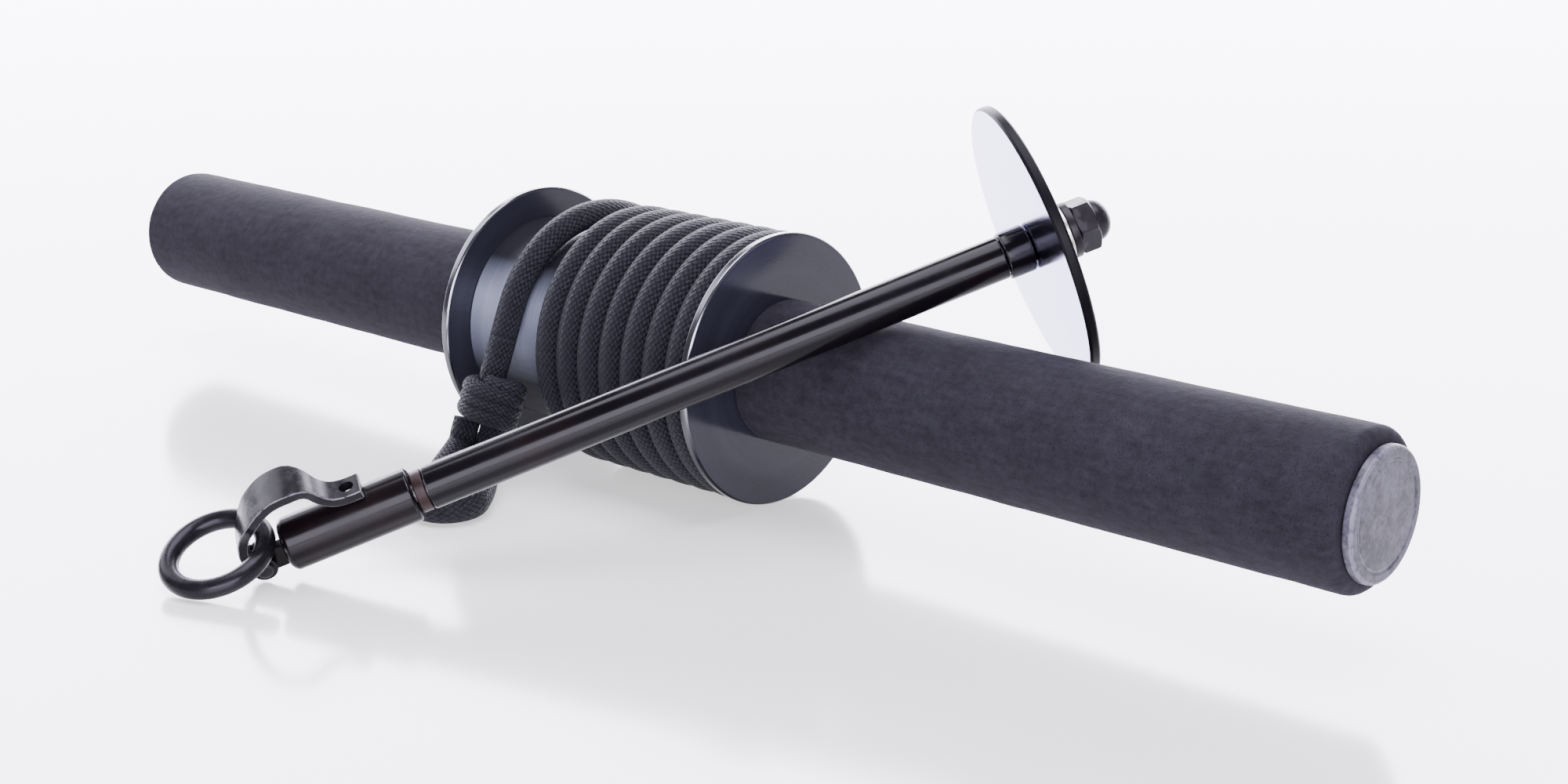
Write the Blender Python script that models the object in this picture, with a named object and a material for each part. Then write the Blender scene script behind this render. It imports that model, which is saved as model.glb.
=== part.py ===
"""Wrist trainer: a foam-gripped roller with a cord spool, and the weight post that lies across it.

All driving sizes are in millimetres and are turned to metres when a mesh is made.
X runs along the roller, Z is up, and the weight post's head points towards -Y.
"""
import bpy
import bmesh
import math
from mathutils import Matrix, Vector

MM = 0.001
FIT = 0.3

# Facets round the larger and the smaller turned pieces
ROLLER_STEPS = 48
DRUM_STEPS = 72
RIM_STEPS = 96
POST_STEPS = 32
SMALL_STEPS = 20

# Roller: steel axle, foam grips and end plugs
AXLE_RADIUS = 14.0
AXLE_WALL = 2.0
GRIP_RADIUS = 20.0
GRIP_LENGTH = 181.0
GRIP_EDGE = 3.2
PLUG_RADIUS = 16.4
PLUG_PROUD = 2.6
PLUG_EDGE = 0.9
PLUG_STEM = 16.0
PLUG_WALL = 2.0
AXLE_SETBACK = 3.2

# Spool: drum between two flanges, with the cord wound in one layer
CORD_BELOW_RIM = 0.31
FLANGE_THICKNESS = 2.7
FLANGE_EDGE = 0.5
SPOOL_WIDTH = 94.4
DRUM_RADIUS = 29.6
CORD_DIAMETER = 7.8
TURN_PITCH = 8.45
TURN_COUNT = 7
TURN_START_DEG = 270.0
SHIFT_START_DEG = 155.0
SHIFT_LENGTH_DEG = 100.0
TURN_STEP_DEG = 15.0
LAST_SHIFT = 10.5
LEAVE_DEG = 72.0
LEAVE_DRIFT = 7.2
LEAVE_SLOPE_IN = 12.6
LEAVE_SLOPE_OUT = 7.2
ANCHOR_LENGTH = 9.0
ANCHOR_WIDTH = 7.0
ANCHOR_HEIGHT = 7.4

# Free end of the cord: hanging stretch, knot and eye, measured from the roller's centre
LEAD_LENGTH = 11.5
LEAD_STEP = 4.0
KNOT_LENGTH = 13.5
KNOT_RADIUS = 9.2
KNOT_ASIDE = 2.0
KNOT_WRAPS = 3
KNOT_BULGE = 0.45
KNOT_GROOVE = 0.4
KNOT_STEPS = 24
EYE_LEG_GAP = 0.9
EYE_LEG_OPENING = 0.2
EYE_MIDDLE = (
    (-20.6, -56.2, -31.4),
    (-16.4, -63.0, -34.0),
    (-11.4, -69.6, -34.4),
)
EYE_TIP = (-6.6, -76.0, -34.4)
EYE_HALF_WIDTH = 7.8
EYE_SPREAD = (0.82, 0.97, 1.0)
EYE_SPACING = 3.4

# Weight post: its line over the right grip, measured from the roller's centre
POST_HEADING_DEG = 37.34
POST_SLOPE_DEG = 19.8
CROSSING_X = 86.3
CROSSING_FROM_DISC = 48.6
BAR_RADIUS = 5.8
BAR_LENGTH = 168.2
BAR_EDGE = 0.4
STUD_RADIUS = 4.0
STUD_LENGTH = 19.0
STUD_EDGE = 0.6
COLLAR_RADIUS = 6.4
COLLAR_LENGTH = 7.2
COLLAR_EDGE = 0.7
DISC_RADIUS = 38.3
DISC_THICKNESS = 3.0
DISC_EDGE = 0.6
SPACER_RADIUS = 7.0
SPACER_LENGTH = 5.0
WASHER_RADIUS = 8.2
WASHER_THICKNESS = 1.5
LOCK_RADIUS = 7.6
LOCK_THICKNESS = 2.0
NUT_ACROSS = 13.0
NUT_HEIGHT = 5.6
NUT_END_ROOM = 0.5
DOME_RADIUS = 5.6
DOME_HEIGHT = 4.4
DOME_SEAT = 0.5

# Head of the post: swivel pin, neck ring and barrel
NECK_LENGTH = 3.0
NECK_RADIUS = 5.6
NECK_EDGE = 0.4
PIN_RADIUS = 2.5
PIN_HEAD_RADIUS = 4.0
PIN_HEAD_LENGTH = 2.0
PIN_SEAT = 6.0
BARREL_RADIUS = 7.2
BARREL_LENGTH = 35.5
BARREL_EDGE = 1.5
BARREL_NECK_EDGE = 0.6
BARREL_CAVITY_RADIUS = 4.6
BARREL_CAVITY_LENGTH = 5.0
JAW_ROLL_DEG = 20.0

# Strap jaw on its cross pin, along the barrel's axis (A) and across it (B)
TONGUE_THICKNESS = 3.2
TONGUE_RADIUS = 3.2
TONGUE_ROOT = 1.0
JAW_PIN_OUT = 6.5
JAW_PIN_DROP = 1.7
JAW_PIN_RADIUS = 1.4
JAW_PIN_HEAD_RADIUS = 2.3
JAW_PIN_HEAD_LENGTH = 0.7
JAW_PIN_EDGE = 0.3
STRAP_WIDTH = 8.4
STRAP_BELLY = 13.6
TAB_WIDTH = 8.0
STRAP_THICKNESS = 2.6
STRAP_EYE_RADIUS = 3.3
STRAP_LINE = (
    (7.8, -1.7),
    (9.7, 2.1),
    (9.1, 6.5),
    (6.7, 10.7),
    (3.4, 14.3),
    (-1.9, 17.4),
    (-7.8, 17.8),
    (-11.2, 15.9),
    (-13.4, 12.4),
    (-16.2, 9.8),
    (-19.6, 8.9),
)
TAB_LENGTH = 4.6
TAB_HOLE_RADIUS = 1.9
TAB_HOLE_BACK = 20.6
BELLY_FROM = 0.20
BELLY_FULL = 0.36
BELLY_UNTIL = 0.58
TAB_FROM = 0.74

# Ring of round wire through the jaw
RING_RADIUS = 12.6
RING_WIRE_RADIUS = 2.6
RING_OUT = 3.25
RING_UP = 5.4
RING_NORMAL = (0.148, -0.421, 0.895)
RING_TURN_DEG = -49.0


def unit(vector):
    """Returns the vector at length one."""
    return Vector(vector).normalized()


def axes(origin, along, across):
    """Builds a frame in millimetres from an origin, a first axis and a rough second axis."""
    first = unit(along)
    third = first.cross(unit(across)).normalized()
    second = third.cross(first)
    frame = Matrix((first, second, third)).transposed().to_4x4()
    frame.translation = Vector(origin)
    return frame


def material(name, colour, metallic, roughness):
    """Makes a plain surface material."""
    made = bpy.data.materials.new(name)
    made.use_nodes = True
    made.diffuse_color = (colour[0], colour[1], colour[2], 1.0)
    shader = made.node_tree.nodes["Principled BSDF"]
    shader.inputs["Base Color"].default_value = (colour[0], colour[1], colour[2], 1.0)
    shader.inputs["Metallic"].default_value = metallic
    shader.inputs["Roughness"].default_value = roughness
    return made


def make_object(name, points, faces, frame, origin, surface, sharp_deg=35.0):
    """Makes one mesh object from points in a frame, with its own origin in roller axes."""
    pivot = Vector(origin)
    mesh = bpy.data.meshes.new(name)
    placed = [(frame @ Vector(point) - pivot) * MM for point in points]
    mesh.from_pydata(placed, [], faces)
    shape = bmesh.new()
    shape.from_mesh(mesh)
    bmesh.ops.recalc_face_normals(shape, faces=shape.faces)
    shape.to_mesh(mesh)
    shape.free()
    mesh.materials.append(surface)
    body = bpy.data.objects.new(name, mesh)
    body.location = pivot * MM
    bpy.context.scene.collection.objects.link(body)
    shade(body, sharp_deg)
    return body


def shade(body, sharp_deg=35.0):
    """Shades the round faces smooth and keeps the edges crisp."""
    for face in body.data.polygons:
        face.use_smooth = True
    body.data.set_sharp_from_angle(angle=math.radians(sharp_deg))


def turned(profile, steps, hollow):
    """Turns (along, radius) pairs about the first axis; a hollow profile closes on itself."""
    points = []
    rings = []
    for along, radius in profile:
        if radius == 0.0:
            rings.append([len(points)])
            points.append((along, 0.0, 0.0))
            continue
        ring = []
        for step in range(steps):
            angle = 2.0 * math.pi * step / steps
            ring.append(len(points))
            points.append((along, radius * math.cos(angle), radius * math.sin(angle)))
        rings.append(ring)
    pairs = list(zip(rings[:-1], rings[1:]))
    if hollow:
        pairs.append((rings[-1], rings[0]))
    faces = []
    for low, high in pairs:
        for step in range(steps):
            after = (step + 1) % steps
            if len(low) == 1 and len(high) == 1:
                break
            elif len(low) == 1:
                faces.append((low[0], high[step], high[after]))
            elif len(high) == 1:
                faces.append((low[step], low[after], high[0]))
            else:
                faces.append((low[step], low[after], high[after], high[step]))
    return points, faces


def turned_object(name, profile, steps, hollow, frame, origin, surface):
    """Makes a turned piece."""
    points, faces = turned(profile, steps, hollow)
    return make_object(name, points, faces, frame, origin, surface)


def block(size_low, size_high):
    """Gives the points and faces of a box between two corners."""
    points = []
    for first in (size_low[0], size_high[0]):
        for second in (size_low[1], size_high[1]):
            for third in (size_low[2], size_high[2]):
                points.append((first, second, third))
    faces = [(0, 1, 3, 2), (4, 6, 7, 5), (0, 4, 5, 1), (2, 3, 7, 6), (0, 2, 6, 4), (1, 5, 7, 3)]
    return points, faces


def extruded(outline, low, high):
    """Extrudes a closed outline in the first two axes between two heights on the third."""
    count = len(outline)
    points = [(x, y, low) for x, y in outline] + [(x, y, high) for x, y in outline]
    faces = [tuple(range(count)), tuple(range(count, 2 * count))]
    for step in range(count):
        after = (step + 1) % count
        faces.append((step, after, after + count, step + count))
    return points, faces


def combine(body, tool, operation):
    """Joins or cuts a piece with another solid and keeps the result as its mesh."""
    tool.hide_render = True
    tool.display_type = "WIRE"
    change = body.modifiers.new(operation.title(), "BOOLEAN")
    change.operation = operation
    change.object = tool
    change.solver = "EXACT"
    bpy.context.view_layer.update()
    graph = bpy.context.evaluated_depsgraph_get()
    result = bpy.data.meshes.new_from_object(body.evaluated_get(graph))
    body.modifiers.clear()
    old = body.data
    body.data = result
    result.name = body.name
    bpy.data.meshes.remove(old)
    bpy.data.objects.remove(tool, do_unlink=True)
    shade(body)
    return body


def smooth_line(points, spacing):
    """Reads points at an even spacing from a smooth curve through the given points."""
    dense = []
    count = len(points)
    for index in range(count - 1):
        before = Vector(points[max(index - 1, 0)])
        start = Vector(points[index])
        end = Vector(points[index + 1])
        after = Vector(points[min(index + 2, count - 1)])
        for step in range(24):
            t = step / 24.0
            first = 2.0 * start
            second = (end - before) * t
            third = (2.0 * before - 5.0 * start + 4.0 * end - after) * t * t
            fourth = (3.0 * start - before - 3.0 * end + after) * t * t * t
            dense.append(0.5 * (first + second + third + fourth))
    dense.append(Vector(points[-1]))
    lengths = [0.0]
    for index in range(1, len(dense)):
        lengths.append(lengths[-1] + (dense[index] - dense[index - 1]).length)
    pieces = max(1, round(lengths[-1] / spacing))
    chosen = []
    place = 0
    for piece in range(pieces + 1):
        target = lengths[-1] * piece / pieces
        while place < len(dense) - 2 and lengths[place + 1] < target:
            place += 1
        span = lengths[place + 1] - lengths[place]
        share = 0.0 if span == 0.0 else (target - lengths[place]) / span
        chosen.append(dense[place].lerp(dense[place + 1], min(share, 1.0)))
    return chosen


def tube(name, points, diameter, sides, surface):
    """Makes a capped tube along a line of points in roller axes."""
    curve = bpy.data.curves.new(name, "CURVE")
    curve.dimensions = "3D"
    curve.bevel_depth = 0.5 * diameter * MM
    curve.bevel_resolution = sides
    curve.use_fill_caps = True
    line = curve.splines.new("POLY")
    line.points.add(len(points) - 1)
    for place, point in zip(line.points, points):
        place.co = (point[0] * MM, point[1] * MM, point[2] * MM, 1.0)
    curve.materials.append(surface)
    body = bpy.data.objects.new(name, curve)
    bpy.context.scene.collection.objects.link(body)
    return body


def line_length(points):
    """Adds up the length of a line of points."""
    return sum((Vector(b) - Vector(a)).length for a, b in zip(points[:-1], points[1:]))


def least_gap(points, diameter):
    """Measures how near a tube comes to itself, past the part that joins it."""
    dense = []
    for first, second in zip(points[:-1], points[1:]):
        for step in range(4):
            dense.append(Vector(first).lerp(Vector(second), step / 4.0))
    dense.append(Vector(points[-1]))
    lengths = [0.0]
    for index in range(1, len(dense)):
        lengths.append(lengths[-1] + (dense[index] - dense[index - 1]).length)
    nearest = 1.0e9
    for index in range(len(dense)):
        for other in range(index + 1, len(dense)):
            if lengths[other] - lengths[index] > 4.0 * diameter:
                nearest = min(nearest, (dense[other] - dense[index]).length)
    return nearest - diameter


for old in list(bpy.data.objects):
    bpy.data.objects.remove(old, do_unlink=True)

FOAM = material("foam", (0.045, 0.043, 0.055), 0.0, 0.9)
STEEL = material("bare_steel", (0.55, 0.55, 0.57), 1.0, 0.35)
BLACK = material("black_gloss", (0.012, 0.011, 0.014), 0.2, 0.2)
FLANGE = material("dark_flange", (0.06, 0.06, 0.075), 0.4, 0.4)
DRUM = material("grey_drum", (0.25, 0.25, 0.28), 0.6, 0.4)
PLUG = material("grey_plug", (0.55, 0.55, 0.6), 0.1, 0.5)
CORD = material("braided_cord", (0.02, 0.02, 0.024), 0.0, 0.85)
MIRROR = material("bright_disc", (0.8, 0.8, 0.88), 1.0, 0.12)
ZINC = material("zinc", (0.65, 0.66, 0.62), 1.0, 0.3)
BRONZE = material("bronze_neck", (0.2, 0.13, 0.12), 0.7, 0.55)

roller = axes((0.0, 0.0, 0.0), (1.0, 0.0, 0.0), (0.0, 1.0, 0.0))
roller_left = axes((0.0, 0.0, 0.0), (-1.0, 0.0, 0.0), (0.0, -1.0, 0.0))
centre = (0.0, 0.0, 0.0)
half_spool = 0.5 * SPOOL_WIDTH
flange_face = half_spool + FLANGE_THICKNESS
grip_start = flange_face + FIT
grip_end = grip_start + GRIP_LENGTH
axle_end = grip_end - AXLE_SETBACK
bore = AXLE_RADIUS + FIT
turn_tilt = math.radians(0.5 * TURN_STEP_DEG)
cord_line = (DRUM_RADIUS + FIT + 0.5 * CORD_DIAMETER) / math.cos(turn_tilt)
flange_radius = cord_line + 0.5 * CORD_DIAMETER + CORD_BELOW_RIM

# Axle tube: runs the whole length inside the grips, the flanges and the plugs
turned_object(
    "axle_tube",
    [
        (-axle_end, AXLE_RADIUS - AXLE_WALL),
        (-axle_end, AXLE_RADIUS),
        (axle_end, AXLE_RADIUS),
        (axle_end, AXLE_RADIUS - AXLE_WALL),
    ],
    ROLLER_STEPS,
    True,
    roller,
    centre,
    STEEL,
)

# Spool drum: a plain core on the axle, between the two flanges
drum_end = half_spool - FIT
turned_object(
    "spool_drum",
    [
        (-drum_end, bore),
        (-drum_end, DRUM_RADIUS),
        (drum_end, DRUM_RADIUS),
        (drum_end, bore),
    ],
    DRUM_STEPS,
    True,
    roller,
    centre,
    DRUM,
)

for side, frame in (("right", roller), ("left", roller_left)):
    # Flange: a flat disc with a bare turned rim, bored for the axle
    turned_object(
        "flange_" + side,
        [
            (half_spool, bore),
            (half_spool, flange_radius - FLANGE_EDGE),
            (half_spool + FLANGE_EDGE, flange_radius),
            (flange_face - FLANGE_EDGE, flange_radius),
            (flange_face, flange_radius - FLANGE_EDGE),
            (flange_face, bore),
        ],
        RIM_STEPS,
        True,
        frame,
        centre,
        FLANGE,
    )

    # Grip: a foam sleeve with its outer end rounded
    rounded = []
    for step in range(5):
        angle = math.radians(90.0 - 22.5 * step)
        rounded.append(
            (
                grip_end - GRIP_EDGE + GRIP_EDGE * math.cos(angle),
                GRIP_RADIUS - GRIP_EDGE + GRIP_EDGE * math.sin(angle),
            )
        )
    turned_object(
        "grip_" + side,
        [(grip_start, bore), (grip_start, GRIP_RADIUS)] + rounded + [(grip_end, bore)],
        ROLLER_STEPS,
        True,
        frame,
        centre,
        FOAM,
    )

    # End plug: a low cap over the foam's end, with a hollow stem inside the axle
    stem_radius = AXLE_RADIUS - AXLE_WALL - FIT
    cap_start = grip_end + FIT
    cap_end = cap_start + PLUG_PROUD
    turned_object(
        "end_plug_" + side,
        [
            (axle_end - PLUG_STEM, stem_radius - PLUG_WALL),
            (axle_end - PLUG_STEM, stem_radius),
            (cap_start, stem_radius),
            (cap_start, PLUG_RADIUS),
            (cap_end - PLUG_EDGE, PLUG_RADIUS),
            (cap_end - 0.3 * PLUG_EDGE, PLUG_RADIUS - 0.3 * PLUG_EDGE),
            (cap_end, PLUG_RADIUS - PLUG_EDGE),
            (cap_end, 0.0),
            (cap_start + 0.5 * PLUG_PROUD, 0.0),
            (cap_start + 0.5 * PLUG_PROUD, stem_radius - PLUG_WALL),
        ],
        ROLLER_STEPS,
        True,
        frame,
        centre,
        PLUG,
    )

# Cord winding: one layer of flat turns, each stepping aside low on the far side
first_turn = half_spool - FIT - 0.5 * CORD_DIAMETER


def eased(share, drop, slope_in, slope_out):
    """Gives a smooth drop over a share of 0 to 1, with the slopes it starts and ends at."""
    share = min(max(share, 0.0), 1.0)
    square = share * share
    cube = square * share
    way_in = cube - 2.0 * square + share
    return drop * (3.0 * square - 2.0 * cube) + slope_in * way_in + slope_out * (cube - square)


def winding_place(angle_deg):
    """Gives the cord's middle on the drum at an angle from the top, running down the front."""
    aside = 0.0
    for turn in range(1, TURN_COUNT):
        share = (angle_deg - 360.0 * turn - SHIFT_START_DEG) / SHIFT_LENGTH_DEG
        aside += eased(share, TURN_PITCH, 0.0, 0.0)
    last_shift = 360.0 * TURN_COUNT + SHIFT_START_DEG
    leave_start = last_shift + SHIFT_LENGTH_DEG
    leave_length = 360.0 * (TURN_COUNT + 1) + LEAVE_DEG - leave_start
    last_slope = LEAVE_SLOPE_IN * SHIFT_LENGTH_DEG / leave_length
    aside += eased((angle_deg - last_shift) / SHIFT_LENGTH_DEG, LAST_SHIFT, 0.0, last_slope)
    leave = (angle_deg - leave_start) / leave_length
    aside += eased(leave, LEAVE_DRIFT, LEAVE_SLOPE_IN, LEAVE_SLOPE_OUT)
    angle = math.radians(angle_deg)
    x = first_turn - aside
    return Vector((x, -cord_line * math.sin(angle), cord_line * math.cos(angle)))


winding_end_deg = 360.0 * (TURN_COUNT + 1) + LEAVE_DEG
winding_steps = round((winding_end_deg - TURN_START_DEG) / TURN_STEP_DEG)
winding_points = []
for step in range(winding_steps + 1):
    share = step / winding_steps
    winding_points.append(winding_place(TURN_START_DEG + share * (winding_end_deg - TURN_START_DEG)))
start_angle = math.radians(TURN_START_DEG)
start_way = Vector((0.0, math.cos(start_angle), math.sin(start_angle)))
leave_way = (winding_place(winding_end_deg) - winding_place(winding_end_deg - 2.0)).normalized()
winding_start = winding_points[0] + start_way * CORD_DIAMETER
winding_end = winding_points[-1] + leave_way * CORD_DIAMETER
winding_points = [winding_start] + winding_points + [winding_end]
tube("cord_winding", winding_points, CORD_DIAMETER, 1, CORD)
print("cord_winding least gap to itself, mm:", round(least_gap(winding_points, CORD_DIAMETER), 3))
print("cord_winding length, mm:", round(line_length(winding_points), 1))

# Cord anchor: a block on the drum that holds the cord's inner end
anchor_frame = axes(winding_start + start_way * FIT, start_way, (1.0, 0.0, 0.0))
anchor_points, anchor_faces = block(
    (0.0, -0.5 * ANCHOR_WIDTH, -0.5 * ANCHOR_HEIGHT),
    (ANCHOR_LENGTH, 0.5 * ANCHOR_WIDTH, 0.5 * ANCHOR_HEIGHT),
)
anchor = make_object("cord_anchor", anchor_points, anchor_faces, anchor_frame, centre, STEEL)
anchor_seat = DRUM_RADIUS + FIT
drum_cut = turned_object(
    "drum_cut",
    [
        (-half_spool, 0.0),
        (-half_spool, anchor_seat),
        (half_spool, anchor_seat),
        (half_spool, 0.0),
    ],
    DRUM_STEPS,
    False,
    roller,
    centre,
    STEEL,
)
combine(anchor, drum_cut, "DIFFERENCE")

# Free stretch of the cord: hangs down the front of the spool to its knot
lead_start = winding_end + leave_way * FIT
lead_steps = round(LEAD_LENGTH / LEAD_STEP)
lead_step = leave_way * LEAD_LENGTH / lead_steps
lead_points = [lead_start + lead_step * step for step in range(lead_steps + 1)]
lead_end = lead_points[-1]
knot_way = leave_way
tube("cord_lead", lead_points, CORD_DIAMETER, 2, CORD)
print("cord_lead length, mm:", round(line_length(lead_points), 1))

# Knot: three wraps drawn tight round the cord
aside_way = unit(Vector((1.0, 0.0, 0.0)) - knot_way * knot_way.x)
knot_place = lead_end + knot_way * FIT + aside_way * KNOT_ASIDE
knot_frame = axes(knot_place, knot_way, (1.0, 0.0, 0.0))
wrap = KNOT_LENGTH / KNOT_WRAPS
knot_foot_radius = KNOT_RADIUS - KNOT_BULGE * wrap
knot_profile = [(0.0, 0.0), (0.0, knot_foot_radius)]
for turn in range(KNOT_WRAPS):
    for step in range(1, 6):
        angle = math.radians(180.0 - 30.0 * step)
        knot_profile.append(
            (
                wrap * (turn + 0.5) + 0.5 * wrap * math.cos(angle),
                knot_foot_radius + KNOT_BULGE * wrap * math.sin(angle),
            )
        )
    if turn < KNOT_WRAPS - 1:
        knot_profile.append((wrap * (turn + 1), KNOT_RADIUS - KNOT_GROOVE * wrap))
knot_profile += [(KNOT_LENGTH, knot_foot_radius), (KNOT_LENGTH, 0.0)]
turned_object("cord_knot", knot_profile, KNOT_STEPS, False, knot_frame, centre, CORD)

# Eye: one tube from the knot's lower face, round its tip and back
knot_foot = lead_end + knot_way * (KNOT_LENGTH + 2.0 * FIT)
tip = Vector(EYE_TIP)
last_way = (tip - Vector(EYE_MIDDLE[-1])).normalized()
side_way = unit((-last_way.y, last_way.x, 0.0))
leg = 0.5 * (CORD_DIAMETER + EYE_LEG_GAP)
side_pairs = []
for middle, share in zip(EYE_MIDDLE, EYE_SPREAD):
    side_pairs.append((Vector(middle), EYE_HALF_WIDTH * share))
bend_centre = tip - last_way * EYE_HALF_WIDTH
knot_side = unit(side_way - knot_way * side_way.dot(knot_way))
start_pairs = [
    (knot_foot, leg),
    (knot_foot + knot_way * 0.5 * CORD_DIAMETER, leg),
    (knot_foot + knot_way * CORD_DIAMETER, leg + EYE_LEG_OPENING),
]
legs = {}
for sign in (1.0, -1.0):
    legs[sign] = [point + knot_side * sign * width for point, width in start_pairs]
    legs[sign] += [point + side_way * sign * width for point, width in side_pairs]
bend = []
for step in range(1, 8):
    angle = math.radians(90.0 - 22.5 * step)
    bend.append(
        bend_centre
        + side_way * EYE_HALF_WIDTH * math.sin(angle)
        + last_way * EYE_HALF_WIDTH * math.cos(angle)
    )
eye_points = smooth_line(legs[1.0] + bend + legs[-1.0][::-1], EYE_SPACING)
tube("cord_eye", eye_points, CORD_DIAMETER, 2, CORD)
print("cord_eye length, mm:", round(line_length(eye_points), 1))

# Line of the weight post: it rests on the right grip and slopes down to its head
heading = math.radians(POST_HEADING_DEG)
slope = math.radians(POST_SLOPE_DEG)
post_way = Vector(
    (
        -math.sin(heading) * math.cos(slope),
        -math.cos(heading) * math.cos(slope),
        -math.sin(slope),
    )
)
rest_way = Vector((1.0, 0.0, 0.0)).cross(post_way).normalized()
if rest_way.z < 0.0:
    rest_way = -rest_way
crossing = Vector((CROSSING_X, 0.0, 0.0)) + rest_way * (GRIP_RADIUS + BAR_RADIUS + FIT)
disc_face = crossing - post_way * CROSSING_FROM_DISC
side_level = unit((-post_way.y, post_way.x, 0.0))
post = axes(disc_face, post_way, side_level)

# Post bar: round steel bar, turned down to the stud that goes through the disc
turned_object(
    "post_bar",
    [
        (-STUD_LENGTH, 0.0),
        (-STUD_LENGTH, STUD_RADIUS - STUD_EDGE),
        (-STUD_LENGTH + STUD_EDGE, STUD_RADIUS),
        (COLLAR_LENGTH + 2.0 * FIT, STUD_RADIUS),
        (COLLAR_LENGTH + 2.0 * FIT, BAR_RADIUS),
        (BAR_LENGTH - BAR_EDGE, BAR_RADIUS),
        (BAR_LENGTH, BAR_RADIUS - BAR_EDGE),
        (BAR_LENGTH, PIN_RADIUS + FIT),
        (BAR_LENGTH - PIN_SEAT, PIN_RADIUS + FIT),
        (BAR_LENGTH - PIN_SEAT, 0.0),
    ],
    POST_STEPS,
    False,
    post,
    disc_face,
    BLACK,
)

# Collar: a short sleeve on the stud, between the disc and the bar's shoulder
turned_object(
    "post_collar",
    [
        (FIT, STUD_RADIUS + FIT),
        (FIT, COLLAR_RADIUS),
        (FIT + COLLAR_LENGTH - COLLAR_EDGE, COLLAR_RADIUS),
        (FIT + COLLAR_LENGTH, COLLAR_RADIUS - COLLAR_EDGE),
        (FIT + COLLAR_LENGTH, STUD_RADIUS + FIT),
    ],
    POST_STEPS,
    True,
    post,
    disc_face,
    BLACK,
)

# Plate disc: the thin round seat for weight plates
turned_object(
    "plate_disc",
    [
        (0.0, STUD_RADIUS + FIT),
        (0.0, DISC_RADIUS - DISC_EDGE),
        (-DISC_EDGE, DISC_RADIUS),
        (-DISC_THICKNESS + DISC_EDGE, DISC_RADIUS),
        (-DISC_THICKNESS, DISC_RADIUS - DISC_EDGE),
        (-DISC_THICKNESS, STUD_RADIUS + FIT),
    ],
    RIM_STEPS,
    True,
    post,
    disc_face,
    MIRROR,
)

# Spacer, plain washer and lock washer behind the disc, each a ring on the stud
stack = -DISC_THICKNESS - FIT
for name, radius, thickness, surface in (
    ("disc_spacer", SPACER_RADIUS, SPACER_LENGTH, BLACK),
    ("plain_washer", WASHER_RADIUS, WASHER_THICKNESS, ZINC),
    ("lock_washer", LOCK_RADIUS, LOCK_THICKNESS, BLACK),
):
    turned_object(
        name,
        [
            (stack, STUD_RADIUS + FIT),
            (stack, radius),
            (stack - thickness, radius),
            (stack - thickness, STUD_RADIUS + FIT),
        ],
        POST_STEPS,
        True,
        post,
        disc_face,
        surface,
    )
    stack -= thickness + FIT

# Dome nut: six flats, a round dome and a blind bore over the stud's end
nut_corner = NUT_ACROSS / math.sqrt(3.0)
nut_points, nut_faces = turned(
    [(stack, 0.0), (stack, nut_corner), (stack - NUT_HEIGHT, nut_corner), (stack - NUT_HEIGHT, 0.0)],
    6,
    False,
)
nut = make_object("dome_nut", nut_points, nut_faces, post, disc_face, BLACK)
dome_start = stack - NUT_HEIGHT + DOME_SEAT
dome_profile = [(dome_start, 0.0), (dome_start, DOME_RADIUS)]
for step in range(5):
    angle = math.radians(18.0 * step)
    dome_profile.append(
        (stack - NUT_HEIGHT - DOME_HEIGHT * math.sin(angle), DOME_RADIUS * math.cos(angle))
    )
dome_profile.append((stack - NUT_HEIGHT - DOME_HEIGHT, 0.0))
dome = turned_object("dome", dome_profile, KNOT_STEPS, False, post, disc_face, BLACK)
combine(nut, dome, "UNION")
bore_start = stack + FIT
bore_end = -STUD_LENGTH - NUT_END_ROOM
nut_bore = turned_object(
    "nut_bore",
    [
        (bore_start, 0.0),
        (bore_start, STUD_RADIUS + FIT),
        (bore_end, STUD_RADIUS + FIT),
        (bore_end, 0.0),
    ],
    KNOT_STEPS,
    False,
    post,
    disc_face,
    BLACK,
)
combine(nut, nut_bore, "DIFFERENCE")

# Frame of the head: A runs out along the post, B up through the jaw, C across it
bar_end = disc_face + post_way * BAR_LENGTH
up_way = side_level.cross(post_way).normalized()
if up_way.z < 0.0:
    up_way = -up_way
roll = math.radians(JAW_ROLL_DEG)
near_way = side_level if side_level.y < 0.0 else -side_level
jaw_up = up_way * math.cos(roll) + near_way * math.sin(roll)
head = axes(bar_end, post_way, jaw_up)

# Swivel pin: fixed in the bar's end, with its head inside the barrel
neck_end = FIT + NECK_LENGTH
barrel_start = neck_end + FIT
barrel_end = barrel_start + BARREL_LENGTH
cavity_start = barrel_start + BARREL_CAVITY_LENGTH
turned_object(
    "swivel_pin",
    [
        (-PIN_SEAT + FIT, 0.0),
        (-PIN_SEAT + FIT, PIN_RADIUS),
        (cavity_start + FIT, PIN_RADIUS),
        (cavity_start + FIT, PIN_HEAD_RADIUS),
        (cavity_start + FIT + PIN_HEAD_LENGTH, PIN_HEAD_RADIUS),
        (cavity_start + FIT + PIN_HEAD_LENGTH, 0.0),
    ],
    SMALL_STEPS,
    False,
    head,
    bar_end,
    STEEL,
)

# Neck ring: turns on the swivel pin between the bar and the barrel
turned_object(
    "neck_ring",
    [
        (FIT, PIN_RADIUS + FIT),
        (FIT, NECK_RADIUS - NECK_EDGE),
        (FIT + NECK_EDGE, NECK_RADIUS),
        (neck_end - NECK_EDGE, NECK_RADIUS),
        (neck_end, NECK_RADIUS - NECK_EDGE),
        (neck_end, PIN_RADIUS + FIT),
    ],
    POST_STEPS,
    True,
    head,
    bar_end,
    BRONZE,
)

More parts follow.
